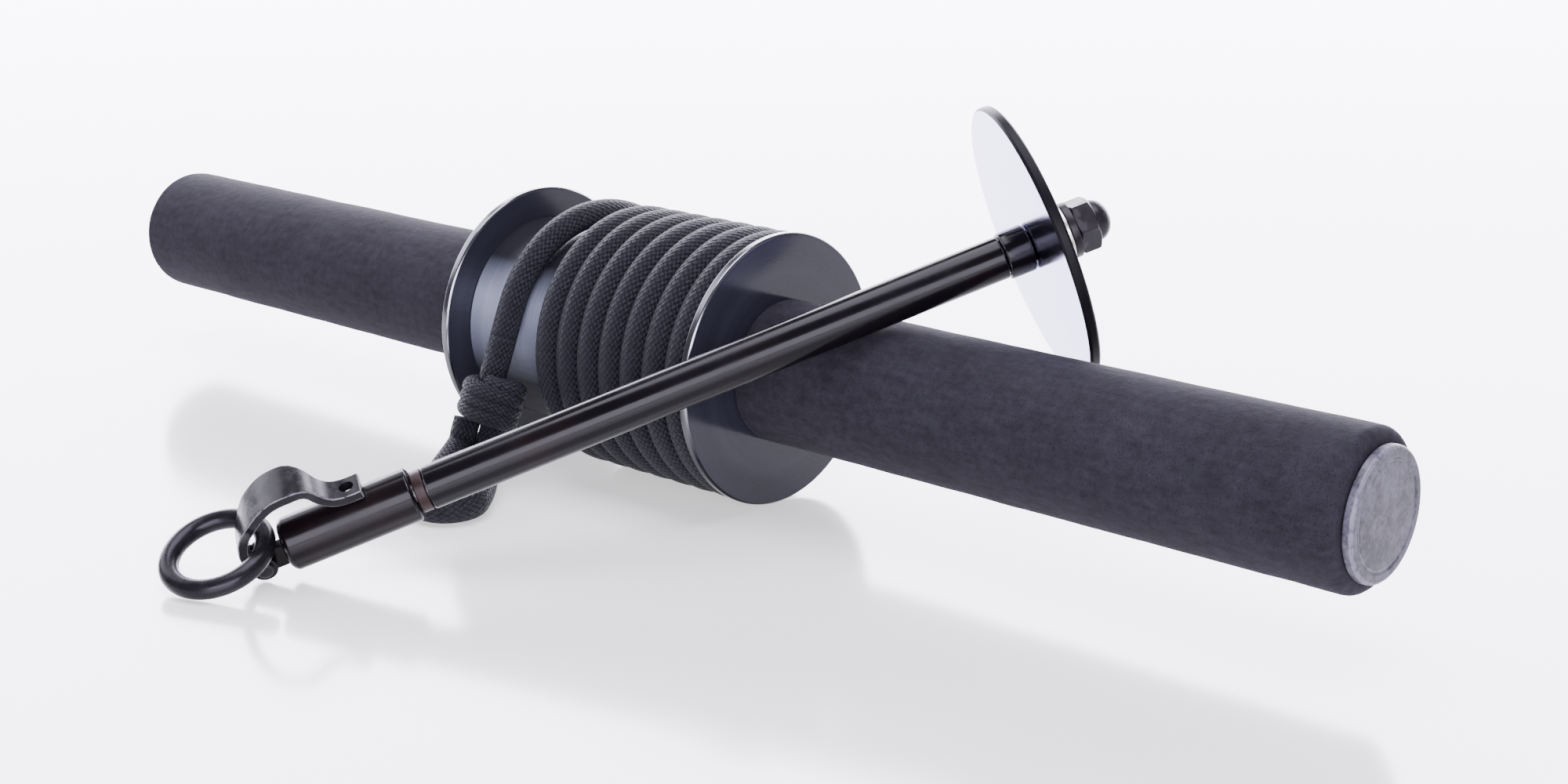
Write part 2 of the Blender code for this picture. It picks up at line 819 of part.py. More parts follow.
# Barrel: swivelling sleeve with a cavity for the pin's head and a tongue at its far end
cavity_end = cavity_start + PIN_HEAD_LENGTH + 2.0 * FIT
barrel = turned_object(
    "swivel_barrel",
    [
        (barrel_start, PIN_RADIUS + FIT),
        (barrel_start, BARREL_RADIUS - BARREL_NECK_EDGE),
        (barrel_start + BARREL_NECK_EDGE, BARREL_RADIUS),
        (barrel_end - BARREL_EDGE, BARREL_RADIUS),
        (barrel_end - 0.4 * BARREL_EDGE, BARREL_RADIUS - 0.4 * BARREL_EDGE),
        (barrel_end, BARREL_RADIUS - BARREL_EDGE),
        (barrel_end, 0.0),
        (cavity_end, 0.0),
        (cavity_end, BARREL_CAVITY_RADIUS),
        (cavity_start, BARREL_CAVITY_RADIUS),
        (cavity_start, PIN_RADIUS + FIT),
    ],
    POST_STEPS,
    True,
    head,
    bar_end,
    BLACK,
)
pin_a = barrel_end + JAW_PIN_OUT
pin_b = -JAW_PIN_DROP
tongue_root = barrel_end - TONGUE_ROOT
tongue_outline = [(tongue_root, pin_b + TONGUE_RADIUS)]
for step in range(9):
    angle = math.radians(90.0 - 22.5 * step)
    tongue_outline.append(
        (pin_a + TONGUE_RADIUS * math.cos(angle), pin_b + TONGUE_RADIUS * math.sin(angle))
    )
tongue_outline.append((tongue_root, pin_b - TONGUE_RADIUS))
tongue_half = 0.5 * TONGUE_THICKNESS
tongue_points, tongue_faces = extruded(tongue_outline, -tongue_half, tongue_half)
tongue = make_object("tongue", tongue_points, tongue_faces, head, bar_end, BLACK)
combine(barrel, tongue, "UNION")


def cross_pin_frame():
    """Gives the frame of the jaw's cross pin, whose first axis is the pin's own."""
    place = head @ Vector((pin_a, pin_b, 0.0))
    turn = head.to_3x3()
    return axes(place, turn @ Vector((0.0, 0.0, 1.0)), turn @ Vector((1.0, 0.0, 0.0)))


cross = cross_pin_frame()
jaw_origin = cross.translation
reach = STRAP_WIDTH


def cross_hole(name, radius):
    """Makes a round cutter along the cross pin."""
    return turned_object(
        name,
        [(-reach, 0.0), (-reach, radius), (reach, radius), (reach, 0.0)],
        SMALL_STEPS,
        False,
        cross,
        jaw_origin,
        STEEL,
    )


combine(barrel, cross_hole("tongue_hole", JAW_PIN_RADIUS + FIT), "DIFFERENCE")

# Cross pin: a rivet with a low head on each side of the jaw
pin_half = 0.5 * STRAP_WIDTH + FIT
turned_object(
    "jaw_pin",
    [
        (-pin_half - JAW_PIN_HEAD_LENGTH, 0.0),
        (-pin_half - JAW_PIN_HEAD_LENGTH, JAW_PIN_HEAD_RADIUS - JAW_PIN_EDGE),
        (-pin_half - JAW_PIN_EDGE, JAW_PIN_HEAD_RADIUS),
        (-pin_half, JAW_PIN_HEAD_RADIUS),
        (-pin_half, JAW_PIN_RADIUS),
        (pin_half, JAW_PIN_RADIUS),
        (pin_half, JAW_PIN_HEAD_RADIUS),
        (pin_half + JAW_PIN_EDGE, JAW_PIN_HEAD_RADIUS),
        (pin_half + JAW_PIN_HEAD_LENGTH, JAW_PIN_HEAD_RADIUS - JAW_PIN_EDGE),
        (pin_half + JAW_PIN_HEAD_LENGTH, 0.0),
    ],
    SMALL_STEPS,
    False,
    cross,
    jaw_origin,
    STEEL,
)

# Strap jaw: a bent strap, forked round the tongue, with a flat tab on the barrel
strap_line = [(barrel_end + a, b) for a, b in STRAP_LINE]
tab_start = strap_line[-1]
strap_line.append((tab_start[0] - TAB_LENGTH, tab_start[1]))
smooth = smooth_line([Vector((a, b, 0.0)) for a, b in strap_line], 2.0)


def strap_half(share):
    """Gives half the strap's width at a share of its length, from the pin to the tab."""
    swell = eased((share - BELLY_FROM) / (BELLY_FULL - BELLY_FROM), 1.0, 0.0, 0.0)
    shrink = eased((share - BELLY_UNTIL) / (TAB_FROM - BELLY_UNTIL), 1.0, 0.0, 0.0)
    width = STRAP_WIDTH + swell * (STRAP_BELLY - STRAP_WIDTH) + shrink * (TAB_WIDTH - STRAP_BELLY)
    return 0.5 * width


strap_points = []
strap_faces = [(0, 1, 2, 3)]
for index, point in enumerate(smooth):
    before = smooth[max(index - 1, 0)]
    after = smooth[min(index + 1, len(smooth) - 1)]
    way = (after - before).normalized()
    aside = Vector((way.y, -way.x, 0.0)) * 0.5 * STRAP_THICKNESS
    half = Vector((0.0, 0.0, strap_half(index / (len(smooth) - 1))))
    strap_points += [
        point + aside - half,
        point + aside + half,
        point - aside + half,
        point - aside - half,
    ]
    if index:
        low = 4 * (index - 1)
        for corner in range(4):
            after_corner = (corner + 1) % 4
            strap_faces.append(
                (low + corner, low + after_corner, low + 4 + after_corner, low + 4 + corner)
            )
last = 4 * (len(smooth) - 1)
strap_faces.append((last, last + 1, last + 2, last + 3))
jaw = make_object("strap_jaw", strap_points, strap_faces, head, jaw_origin, BLACK)
eye = turned_object(
    "jaw_eye",
    [
        (-0.5 * STRAP_WIDTH, 0.0),
        (-0.5 * STRAP_WIDTH, STRAP_EYE_RADIUS),
        (0.5 * STRAP_WIDTH, STRAP_EYE_RADIUS),
        (0.5 * STRAP_WIDTH, 0.0),
    ],
    KNOT_STEPS,
    False,
    cross,
    jaw_origin,
    BLACK,
)
combine(jaw, eye, "UNION")
slot_half = tongue_half + FIT
slot_reach = 2.0 * STRAP_EYE_RADIUS
slot_points, slot_faces = block(
    (pin_a - slot_reach, pin_b - slot_reach, -slot_half),
    (pin_a + TONGUE_RADIUS + FIT, pin_b + TONGUE_RADIUS + 2.0 * FIT, slot_half),
)
slot = make_object("jaw_slot", slot_points, slot_faces, head, jaw_origin, BLACK)
combine(jaw, slot, "DIFFERENCE")
combine(jaw, cross_hole("jaw_hole", JAW_PIN_RADIUS + FIT), "DIFFERENCE")
head_turn = head.to_3x3()
tab_place = head @ Vector((barrel_end - TAB_HOLE_BACK, STRAP_LINE[-1][1], 0.0))
tab_up = head_turn @ Vector((0.0, 1.0, 0.0))
tab_frame = axes(tab_place, tab_up, head_turn @ Vector((1.0, 0.0, 0.0)))
tab_hole = turned_object(
    "tab_hole",
    [
        (-STRAP_THICKNESS, 0.0),
        (-STRAP_THICKNESS, TAB_HOLE_RADIUS),
        (STRAP_THICKNESS, TAB_HOLE_RADIUS),
        (STRAP_THICKNESS, 0.0),
    ],
    SMALL_STEPS,
    False,
    tab_frame,
    jaw_origin,
    BLACK,
)
combine(jaw, tab_hole, "DIFFERENCE")

# Ring: round wire through the jaw, with its low side on the surface
ring_place = head @ Vector((barrel_end + RING_OUT, RING_UP, 0.0))
normal = unit(RING_NORMAL)
high_way = unit(Vector((0.0, 0.0, 1.0)) - normal * normal.z)
level_way = normal.cross(high_way)
turn = math.radians(RING_TURN_DEG)
to_jaw = high_way * math.cos(turn) + level_way * math.sin(turn)
ring_centre = ring_place - to_jaw * RING_RADIUS
ring_frame = axes(ring_centre, normal, to_jaw)
ring_profile = []
for step in range(12):
    angle = math.radians(30.0 * step)
    ring_profile.append(
        (RING_WIRE_RADIUS * math.sin(angle), RING_RADIUS + RING_WIRE_RADIUS * math.cos(angle))
    )
turned_object("ring", ring_profile, 40, True, ring_frame, ring_place, STEEL)

# The origin goes under the middle of everything but the free end of the cord
free_end = ("cord_lead", "cord_knot", "cord_eye")
bpy.context.view_layer.update()
graph = bpy.context.evaluated_depsgraph_get()
low = Vector((1.0e9, 1.0e9, 1.0e9))
high = -low
for body in bpy.context.scene.objects:
    if body.name in free_end:
        continue
    shown = body.evaluated_get(graph)
    shape = shown.to_mesh()
    for vertex in shape.vertices:
        point = body.matrix_world @ vertex.co
        for axis in range(3):
            low[axis] = min(low[axis], point[axis])
            high[axis] = max(high[axis], point[axis])
    shown.to_mesh_clear()
shift = Vector((-0.5 * (low.x + high.x), -0.5 * (low.y + high.y), -low.z))
for body in bpy.context.scene.objects:
    body.location = body.location + shift
bpy.context.view_layer.update()


def report(words, *values):
    """Prints places in metres from the origin, or plain directions, to seven places."""
    print(words, *[[round(part, 7) for part in value] for value in values])


report("shift:", shift)
report("box:", low + shift, high + shift)
report("post line at the disc face:", disc_face * MM + shift, post_way)
report("swivel:", bar_end * MM + shift)
report("jaw pin:", jaw_origin * MM + shift, head_turn @ Vector((0.0, 0.0, -1.0)))
report("ring:", ring_place * MM + shift, to_jaw.cross(normal))
report("cord exit:", lead_start * MM + shift)
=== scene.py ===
"""A wrist trainer on a pale floor: a foam-gripped roller with a wound cord, and its weight post."""
import math
import bpy
import bmesh
from mathutils import Matrix, Vector


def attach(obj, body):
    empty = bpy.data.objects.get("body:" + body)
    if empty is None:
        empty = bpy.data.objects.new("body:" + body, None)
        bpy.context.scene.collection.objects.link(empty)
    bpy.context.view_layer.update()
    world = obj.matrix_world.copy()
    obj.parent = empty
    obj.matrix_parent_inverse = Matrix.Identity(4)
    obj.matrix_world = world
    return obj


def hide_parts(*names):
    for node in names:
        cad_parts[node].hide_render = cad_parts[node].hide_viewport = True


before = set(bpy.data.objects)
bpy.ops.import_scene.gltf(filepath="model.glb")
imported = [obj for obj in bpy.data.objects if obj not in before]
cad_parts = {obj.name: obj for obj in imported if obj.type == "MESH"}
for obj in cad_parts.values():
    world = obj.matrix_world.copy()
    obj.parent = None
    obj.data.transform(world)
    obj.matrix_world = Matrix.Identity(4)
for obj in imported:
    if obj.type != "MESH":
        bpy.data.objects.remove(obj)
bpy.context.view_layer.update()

bpy.ops.object.select_all(action="DESELECT")


# Camera: it looks at the near end of the post's head from the front right, a little above the
# roller, with a moderately long lens, so that both grips run away across the picture.
camera_right = Vector((0.7425, 0.6699, 0.0))
camera_up = Vector((-0.1850, 0.2051, 0.9611))
camera_back = Vector((0.6438, -0.7136, 0.2762))
bpy.ops.object.camera_add(location=(0.4654, -0.40685, 0.2100))
camera = bpy.context.object
camera.name = "camera"
camera.data.sensor_fit = "HORIZONTAL"
camera.data.sensor_width = 36.0
camera.data.lens = 53.36
camera_turn = Matrix((camera_right, camera_up, camera_back)).transposed()
camera.rotation_euler = camera_turn.to_euler()
bpy.context.scene.camera = camera


# Wound cord: about 1.6 m of black braided cord, 7.8 mm thick, laid in one layer of eight turns
# on the drum. The last turn crosses the bare drum and leaves it low on the near side.
MM = 0.001
GAP = 0.0003
FULL_TURN = 360.0
ROLLER_AXIS = Vector((0.0, 0.0528531, 0.0383017))
CORD_WIDTH = 0.0078
CORD_HALF = 0.5 * CORD_WIDTH
CORD_SIDES = 28
CORD_LINE = 0.0340917
CLOSE_TURNS = 7
START_DEG = 270.0
LEAVE_DEG = 72.0
END_DEG = FULL_TURN * (CLOSE_TURNS + 1) + LEAVE_DEG
FIRST_TURN = 0.0430
STEP_ASIDE = 0.00845
STEP_FROM_DEG = 155.0
STEP_OVER_DEG = 100.0
LAST_STEP = 0.0105
LEAVE_STEP = 0.0072
LEAVE_SLOPE = 0.0126


def eased(share, drop, slope_in, slope_out):
    """Gives a smooth drop over a share of 0 to 1, with the slopes it starts and ends at."""
    share = min(max(share, 0.0), 1.0)
    square = share * share
    cube = square * share
    way_in = cube - 2.0 * square + share
    return drop * (3.0 * square - 2.0 * cube) + slope_in * way_in + slope_out * (cube - square)


def cord_on_drum(degrees):
    """Gives the cord's middle at an angle from the top of the drum, down the near side."""
    aside = 0.0
    for turn in range(1, CLOSE_TURNS):
        share = (degrees - FULL_TURN * turn - STEP_FROM_DEG) / STEP_OVER_DEG
        aside += eased(share, STEP_ASIDE, 0.0, 0.0)
    last = FULL_TURN * CLOSE_TURNS + STEP_FROM_DEG
    leave_length = END_DEG - last - STEP_OVER_DEG
    slope = LEAVE_SLOPE * STEP_OVER_DEG / leave_length
    aside += eased((degrees - last) / STEP_OVER_DEG, LAST_STEP, 0.0, slope)
    share = (degrees - last - STEP_OVER_DEG) / leave_length
    aside += eased(share, LEAVE_STEP, LEAVE_SLOPE, LEAVE_STEP)
    angle = math.radians(degrees)
    flat = Vector((FIRST_TURN - aside, -CORD_LINE * math.sin(angle), CORD_LINE * math.cos(angle)))
    return ROLLER_AXIS + flat


def smooth_line(points, spacing):
    """Draws a smooth line through the points and reads it off at an even spacing."""
    cuts = 12
    dense = []
    for index in range(len(points) - 1):
        before = points[max(index - 1, 0)]
        start = points[index]
        end = points[index + 1]
        after = points[min(index + 2, len(points) - 1)]
        for step in range(cuts):
            t = step / cuts
            bend = (2.0 * before - 5.0 * start + 4.0 * end - after) * t * t
            bend += (3.0 * start - before - 3.0 * end + after) * t * t * t
            dense.append(0.5 * (2.0 * start + (end - before) * t + bend))
    dense.append(points[-1].copy())
    lengths = [0.0]
    for first, second in zip(dense, dense[1:]):
        lengths.append(lengths[-1] + (second - first).length)
    pieces = max(1, round(lengths[-1] / spacing))
    line = []
    place = 0
    for piece in range(pieces + 1):
        target = lengths[-1] * piece / pieces
        while place < len(dense) - 2 and lengths[place + 1] < target:
            place += 1
        share = (target - lengths[place]) / (lengths[place + 1] - lengths[place])
        line.append(dense[place].lerp(dense[place + 1], min(share, 1.0)))
    return line


def braided_tube(name, line, half_out, half_along, first_out, start, outward=None):
    """Sweeps a rounded section along a line, with a map that runs round the cord and along it."""
    sides = CORD_SIDES
    points = []
    out = first_out
    lengths = [start]
    for index, point in enumerate(line):
        way = (line[min(index + 1, len(line) - 1)] - line[max(index - 1, 0)]).normalized()
        if outward:
            out = outward(point)
        out = (out - way * out.dot(way)).normalized()
        across = way.cross(out)
        if index:
            lengths.append(lengths[-1] + (point - line[index - 1]).length)
        for side in range(sides):
            angle = 2.0 * math.pi * side / sides
            points.append(
                point + out * half_out * math.cos(angle) + across * half_along * math.sin(angle)
            )
    faces = []
    spots = []
    for ring in range(len(line) - 1):
        for side in range(sides):
            low = ring * sides + side
            next_low = ring * sides + (side + 1) % sides
            faces.append((low, next_low, next_low + sides, low + sides))
            here, there = side / sides, (side + 1) / sides
            near, far = lengths[ring], lengths[ring + 1]
            spots += [(here, near), (there, near), (there, far), (here, far)]
    last = (len(line) - 1) * sides
    for ring, turn in ((0, -1), (last, 1)):
        cap = [ring + side for side in range(sides)][::turn]
        faces.append(tuple(cap))
        spots += [(0.5 + 0.1 * turn, lengths[0 if turn < 0 else -1])] * sides
    mesh = bpy.data.meshes.new(name)
    mesh.from_pydata(points, [], faces)
    layer = mesh.uv_layers.new(name="cord_map")
    for loop, spot in zip(layer.data, spots):
        loop.uv = spot
    for face in mesh.polygons:
        face.use_smooth = len(face.vertices) == 4
    piece = bpy.data.objects.new(name, mesh)
    bpy.context.scene.collection.objects.link(piece)
    return piece, out, lengths[-1]


def new_finish(name, colour, metallic, roughness, sheen=0.0, shine=0.5):
    """Starts a material and hands back the material, its tree, its shader and its place."""
    finish = bpy.data.materials.new(name)
    finish.use_nodes = True
    tree = finish.node_tree
    shader = tree.nodes["Principled BSDF"]
    shader.inputs["Base Color"].default_value = (*colour, 1.0)
    shader.inputs["Metallic"].default_value = metallic
    shader.inputs["Roughness"].default_value = roughness
    shader.inputs["Sheen Weight"].default_value = sheen
    shader.inputs["Specular IOR Level"].default_value = shine
    return finish, tree, shader, tree.nodes.new("ShaderNodeTexCoord").outputs["Object"]


def calc(tree, kind, first, second=None, third=None):
    """Adds one arithmetic node; each input is a number or another node's output."""
    node = tree.nodes.new("ShaderNodeMath")
    node.operation = kind
    for slot, value in enumerate((first, second, third)):
        if value is None:
            continue
        if isinstance(value, (int, float)):
            node.inputs[slot].default_value = value
        else:
            tree.links.new(value, node.inputs[slot])
    return node.outputs[0]


def blend(tree, share, first, second):
    """Blends two colours, or colour outputs, by a share."""
    node = tree.nodes.new("ShaderNodeMix")
    node.data_type = "RGBA"
    for slot, value in ((6, first), (7, second)):
        if isinstance(value, tuple):
            node.inputs[slot].default_value = (*value, 1.0)
        else:
            tree.links.new(value, node.inputs[slot])
    tree.links.new(share, node.inputs[0])
    return node.outputs[2]


def noise(tree, place, scale, detail=2.0, roughness=0.5):
    """Adds a noise pattern, in features to the metre."""
    node = tree.nodes.new("ShaderNodeTexNoise")
    node.inputs["Scale"].default_value = scale
    node.inputs["Detail"].default_value = detail
    node.inputs["Roughness"].default_value = roughness
    tree.links.new(place, node.inputs["Vector"])
    return node.outputs[0]


def spread(tree, value, low, high, new_low, new_high):
    """Stretches a value from one range to another and holds it at the ends."""
    node = tree.nodes.new("ShaderNodeMapRange")
    tree.links.new(value, node.inputs["Value"])
    for slot, number in enumerate((low, high, new_low, new_high), 1):
        node.inputs[slot].default_value = number
    return node.outputs[0]


def cover(tree, shader, colour, height, depth, strength, roughness=None):
    """Feeds the shader its colour, its roughness and a height pattern, whose depth is in metres."""
    tree.links.new(colour, shader.inputs["Base Color"])
    if roughness is not None:
        tree.links.new(roughness, shader.inputs["Roughness"])
    bump = tree.nodes.new("ShaderNodeBump")
    bump.inputs["Strength"].default_value = strength
    bump.inputs["Distance"].default_value = depth
    tree.links.new(height, bump.inputs["Height"])
    tree.links.new(bump.outputs["Normal"], shader.inputs["Normal"])


def new_group(name, place, numbers, results):
    """Starts a shader group that takes a place and some numbers; all go by their names."""
    group = bpy.data.node_groups.new(name, "ShaderNodeTree")
    sockets = group.interface
    sockets.new_socket(place, in_out="INPUT", socket_type="NodeSocketVector")
    for label in numbers:
        sockets.new_socket(label, in_out="INPUT", socket_type="NodeSocketFloat")
    for label in results:
        sockets.new_socket(label, in_out="OUTPUT", socket_type="NodeSocketFloat")
    return group, group.nodes.new("NodeGroupInput"), group.nodes.new("NodeGroupOutput")


def place_group(tree, group, **values):
    """Places a shader group in a tree and sets its inputs by their names."""
    node = tree.nodes.new("ShaderNodeGroup")
    node.node_tree = group
    for label, value in values.items():
        if isinstance(value, (int, float)):
            node.inputs[label].default_value = value
        else:
            tree.links.new(value, node.inputs[label])
    return node.outputs


def blend_values(tree, share, first, second):
    """Blends two values by a share."""
    node = tree.nodes.new("ShaderNodeMix")
    for slot, value in ((0, share), (2, first), (3, second)):
        tree.links.new(value, node.inputs[slot])
    return node.outputs[0]


# The braid itself: two sets of strands run round the cord at opposite slants and pass over and
# under each other, which leaves a row of small diamonds, each strand a bundle of fine yarns.
braid, braid_in, braid_out = new_group(
    "braid", "Map", ("Strands", "Pitch"), ("Height", "Shade", "Yarn")
)
split = braid.nodes.new("ShaderNodeSeparateXYZ")
braid.links.new(braid_in.outputs["Map"], split.inputs[0])
around = calc(braid, "MULTIPLY", split.outputs[0], braid_in.outputs["Strands"])
along = calc(braid, "DIVIDE", split.outputs[1], braid_in.outputs["Pitch"])
right_slant = calc(braid, "ADD", around, along)
left_slant = calc(braid, "SUBTRACT", around, along)
right_cell = calc(braid, "FLOOR", right_slant)
left_cell = calc(braid, "FLOOR", left_slant)
right_share = calc(braid, "MULTIPLY", calc(braid, "FRACT", right_slant), math.pi)
left_share = calc(braid, "MULTIPLY", calc(braid, "FRACT", left_slant), math.pi)
right_round = calc(braid, "SINE", right_share)
left_round = calc(braid, "SINE", left_share)
over = calc(braid, "FLOORED_MODULO", calc(braid, "ADD", right_cell, left_cell), 2.0)
right_lift = calc(braid, "MULTIPLY_ADD", left_round, 0.45, 0.55)
left_lift = calc(braid, "MULTIPLY_ADD", right_round, 0.45, 0.55)
right_over = calc(braid, "MULTIPLY", right_round, right_lift)
left_over = calc(braid, "MULTIPLY", left_round, left_lift)
strand = blend_values(braid, over, right_over, left_over)
cell = braid.nodes.new("ShaderNodeCombineXYZ")
braid.links.new(right_cell, cell.inputs[0])
braid.links.new(left_cell, cell.inputs[1])
strand_tone = braid.nodes.new("ShaderNodeTexWhiteNoise")
strand_tone.noise_dimensions = "2D"
braid.links.new(cell.outputs[0], strand_tone.inputs["Vector"])
yarn_side = blend_values(braid, over, left_slant, right_slant)
yarn = calc(braid, "SINE", calc(braid, "MULTIPLY", yarn_side, 10.0 * math.pi))
braid.links.new(strand, braid_out.inputs["Height"])
braid.links.new(strand_tone.outputs["Value"], braid_out.inputs["Shade"])
braid.links.new(yarn, braid_out.inputs["Yarn"])


def cord_finish(name, strands, pitch):
    """Makes the black braid, its strands a little dull on top, with painted shade in the gaps."""
    finish, tree, shader, place = new_finish(
        name, (0.02, 0.02, 0.024), 0.0, 0.55, sheen=0.02, shine=0.16
    )
    shader.inputs["Sheen Roughness"].default_value = 0.4
    shader.inputs["Sheen Tint"].default_value = (0.55, 0.55, 0.70, 1.0)
    cord_map = place.node.outputs["UV"]
    parts = place_group(tree, braid, Map=cord_map, Strands=strands, Pitch=pitch)
    dust = noise(tree, place, 260.0, 3.0)
    tone = calc(tree, "MULTIPLY_ADD", parts["Shade"], 0.35, 0.35)
    tone = calc(tree, "MULTIPLY_ADD", dust, 0.5, tone)
    # Where the braid sinks between strands its colour is darkened: painted shade in the gaps.
    tone = calc(tree, "MULTIPLY", tone, spread(tree, parts["Height"], 0.1, 0.8, 0.25, 1.0))
    colour = blend(tree, tone, (0.0010, 0.0010, 0.0016), (0.0115, 0.0110, 0.0175))
    height = calc(tree, "MULTIPLY_ADD", parts["Yarn"], 0.05, parts["Height"])
    cover(tree, shader, colour, height, 0.00055, 1.0)
    return finish


cord_black = cord_finish("cord_braid", 16.0, 0.0019)
start_angle = math.radians(START_DEG)
start_way = Vector((0.0, math.cos(start_angle), math.sin(start_angle)))
step_deg = 15.0
wound_steps = round((END_DEG - START_DEG) / step_deg)
wound_points = [cord_on_drum(START_DEG + step_deg * step) for step in range(wound_steps)]
wound_points.append(cord_on_drum(END_DEG))
leave_way = (cord_on_drum(END_DEG) - cord_on_drum(END_DEG - 2.0)).normalized()
wound_points.insert(0, wound_points[0] + start_way * CORD_WIDTH)
cord_exit = wound_points[-1] + leave_way * (CORD_WIDTH + GAP)
wound_points.append(cord_exit)
wound_line = smooth_line(wound_points, 0.0018)
wound_cord, cord_out, cord_used = braided_tube(
    "wound_cord", wound_line, CORD_HALF, CORD_HALF, Vector((0.0, 1.0, 0.0)), 0.0
)
wound_cord.data.materials.append(cord_black)
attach(wound_cord, "roller")
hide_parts("cord_winding")


# Free end of the cord: it hangs off the drum, goes through its knot and is spliced back into an
# eye that lies low behind the post's bar, ready to be hooked into the ring.
LEAD = 0.0115
KNOT = 0.0135
EYE_HALF = 0.0078
eye_middles = [
    (Vector((-0.0206, -0.0562, -0.0314)), 0.82),
    (Vector((-0.0164, -0.0630, -0.0340)), 0.97),
    (Vector((-0.0114, -0.0696, -0.0344)), 1.0),
]
eye_tip = Vector((-0.0066, -0.0760, -0.0344))
knot_top = cord_exit + leave_way * (LEAD + GAP)
knot_foot = cord_exit + leave_way * (LEAD + KNOT + 2.0 * GAP)
tip_way = (eye_tip - eye_middles[-1][0]).normalized()
side_way = Vector((-tip_way.y, tip_way.x, 0.0)).normalized()
knot_side = (side_way - leave_way * side_way.dot(leave_way)).normalized()
LEG_GAP = 0.0001
leg = 0.5 * (CORD_WIDTH + LEG_GAP)


def eye_leg(sign):
    """Gives one side of the eye, from the knot's lower face to the start of the bend."""
    points = [
        knot_foot + knot_side * sign * leg,
        knot_foot + leave_way * CORD_HALF + knot_side * sign * leg,
        knot_foot + leave_way * CORD_WIDTH + knot_side * sign * (leg + LEG_GAP),
    ]
    for middle, share in eye_middles:
        points.append(ROLLER_AXIS + middle + side_way * sign * EYE_HALF * share)
    return points


bend_middle = ROLLER_AXIS + eye_tip - tip_way * EYE_HALF
eye_bend = []
for step in range(1, 8):
    angle = math.radians(90.0 - 22.5 * step)
    eye_bend.append(
        bend_middle + side_way * EYE_HALF * math.sin(angle) + tip_way * EYE_HALF * math.cos(angle)
    )
free_points = [cord_exit + leave_way * LEAD * step / 4.0 for step in range(5)]
free_points.append(knot_top.lerp(knot_foot, 0.45) + knot_side * leg * 0.5)
free_points += eye_leg(1.0) + eye_bend + eye_leg(-1.0)[::-1]
free_line = smooth_line(free_points, 0.0012)
cord_end, _, _ = braided_tube("cord_end", free_line, CORD_HALF, CORD_HALF, cord_out, cord_used)
cord_end.data.materials.append(cord_black)
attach(cord_end, "roller")
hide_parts("cord_lead", "cord_eye")


# Knot: the cord's own tail is wrapped three times round the splice and drawn tight, so the wraps
# are flattened against each other and both ends tuck in under them.
WRAPS = 3
WRAP_STEPS = 20
TUCK_STEPS = 6
TUCK_IN = 0.0085
KNOT_RADIUS = 0.0092
WRAP_OUT = 0.0026
WRAP_ALONG = 0.0027
AXIS_X = Vector((1.0, 0.0, 0.0))
knot_aside = (AXIS_X - leave_way * leave_way.x).normalized()
knot_start = knot_top + knot_aside * 0.0020
knot_across = knot_side.cross(leave_way)
wrap_points = []
for step in range(WRAPS * WRAP_STEPS + 2 * TUCK_STEPS + 1):
    turn = (step - TUCK_STEPS) / WRAP_STEPS
    rise = min(max(turn, -0.1), WRAPS + 0.1)
    tuck = max(0.0, -turn, turn - WRAPS)
    angle = 2.0 * math.pi * turn
    reach = KNOT_RADIUS - WRAP_OUT - TUCK_IN * tuck
    along_knot = 0.8 * WRAP_ALONG + (KNOT - 1.6 * WRAP_ALONG) * rise / WRAPS
    outward = knot_side * math.cos(angle) + knot_across * math.sin(angle)
    wrap_points.append(knot_start + leave_way * along_knot + outward * reach)


def away_from_knot(point):
    """Points straight out from the knot's middle line."""
    from_start = point - knot_start
    return from_start - leave_way * from_start.dot(leave_way)


cord_knot, _, _ = braided_tube(
    "knot_wraps", smooth_line(wrap_points, 0.0009), WRAP_OUT, WRAP_ALONG, None, 0.0, away_from_knot
)
cord_knot.data.materials.append(cord_finish("knot_braid", 12.0, 0.0017))
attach(cord_knot, "roller")
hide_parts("cord_knot")


# Flanges: two turned aluminium discs that keep the cord on the drum. The faces are finished dark
# and the rims are left bright, with the lathe's fine rings showing.
RIM_SIDES = 160
FLANGE_RIM_FROM = 0.0377


def turned_piece(name, profile, sides, place, ring=False):
    """Pulls a circle along its axis, a step for each (along, radius) in millimetres."""
    first = profile[0]
    bpy.ops.mesh.primitive_circle_add(
        vertices=sides, radius=first[1] * MM, location=(0.0, 0.0, first[0] * MM)
    )
    piece = bpy.context.object
    piece.name = name
    bpy.ops.object.mode_set(mode="EDIT")
    for (low, near), (high, far) in zip(profile, profile[1:]):
        bpy.ops.mesh.extrude_region_move(
            TRANSFORM_OT_translate={"value": (0.0, 0.0, (high - low) * MM)}
        )
        share = far / near
        bpy.ops.transform.resize(
            value=(share, share, 1.0), center_override=(0.0, 0.0, high * MM)
        )
    if not ring:
        bpy.ops.mesh.extrude_region_move()
        bpy.ops.mesh.merge(type="CENTER")
        bpy.ops.mesh.select_all(action="DESELECT")
        pick_rim(piece, first[0] * MM)
        bpy.ops.mesh.extrude_region_move()
        bpy.ops.mesh.merge(type="CENTER")
    close_mesh(1e-7)
    settle(piece, place)
    return piece


def close_mesh(join=0.0):
    """Joins corners that lie together, turns all faces outward and leaves edit mode."""
    bpy.ops.mesh.select_all(action="SELECT")
    if join:
        bpy.ops.mesh.remove_doubles(threshold=join)
    bpy.ops.mesh.normals_make_consistent(inside=False)
    bpy.ops.object.mode_set(mode="OBJECT")


def arc(middle, reach, step_deg, steps):
    """Gives profile points round an arc, from its farthest place off the axis, in millimetres."""
    points = []
    for step in steps:
        angle = math.radians(step_deg * step)
        along = middle[0] + reach[0] * math.sin(angle)
        points.append((along, middle[1] + reach[1] * math.cos(angle)))
    return points


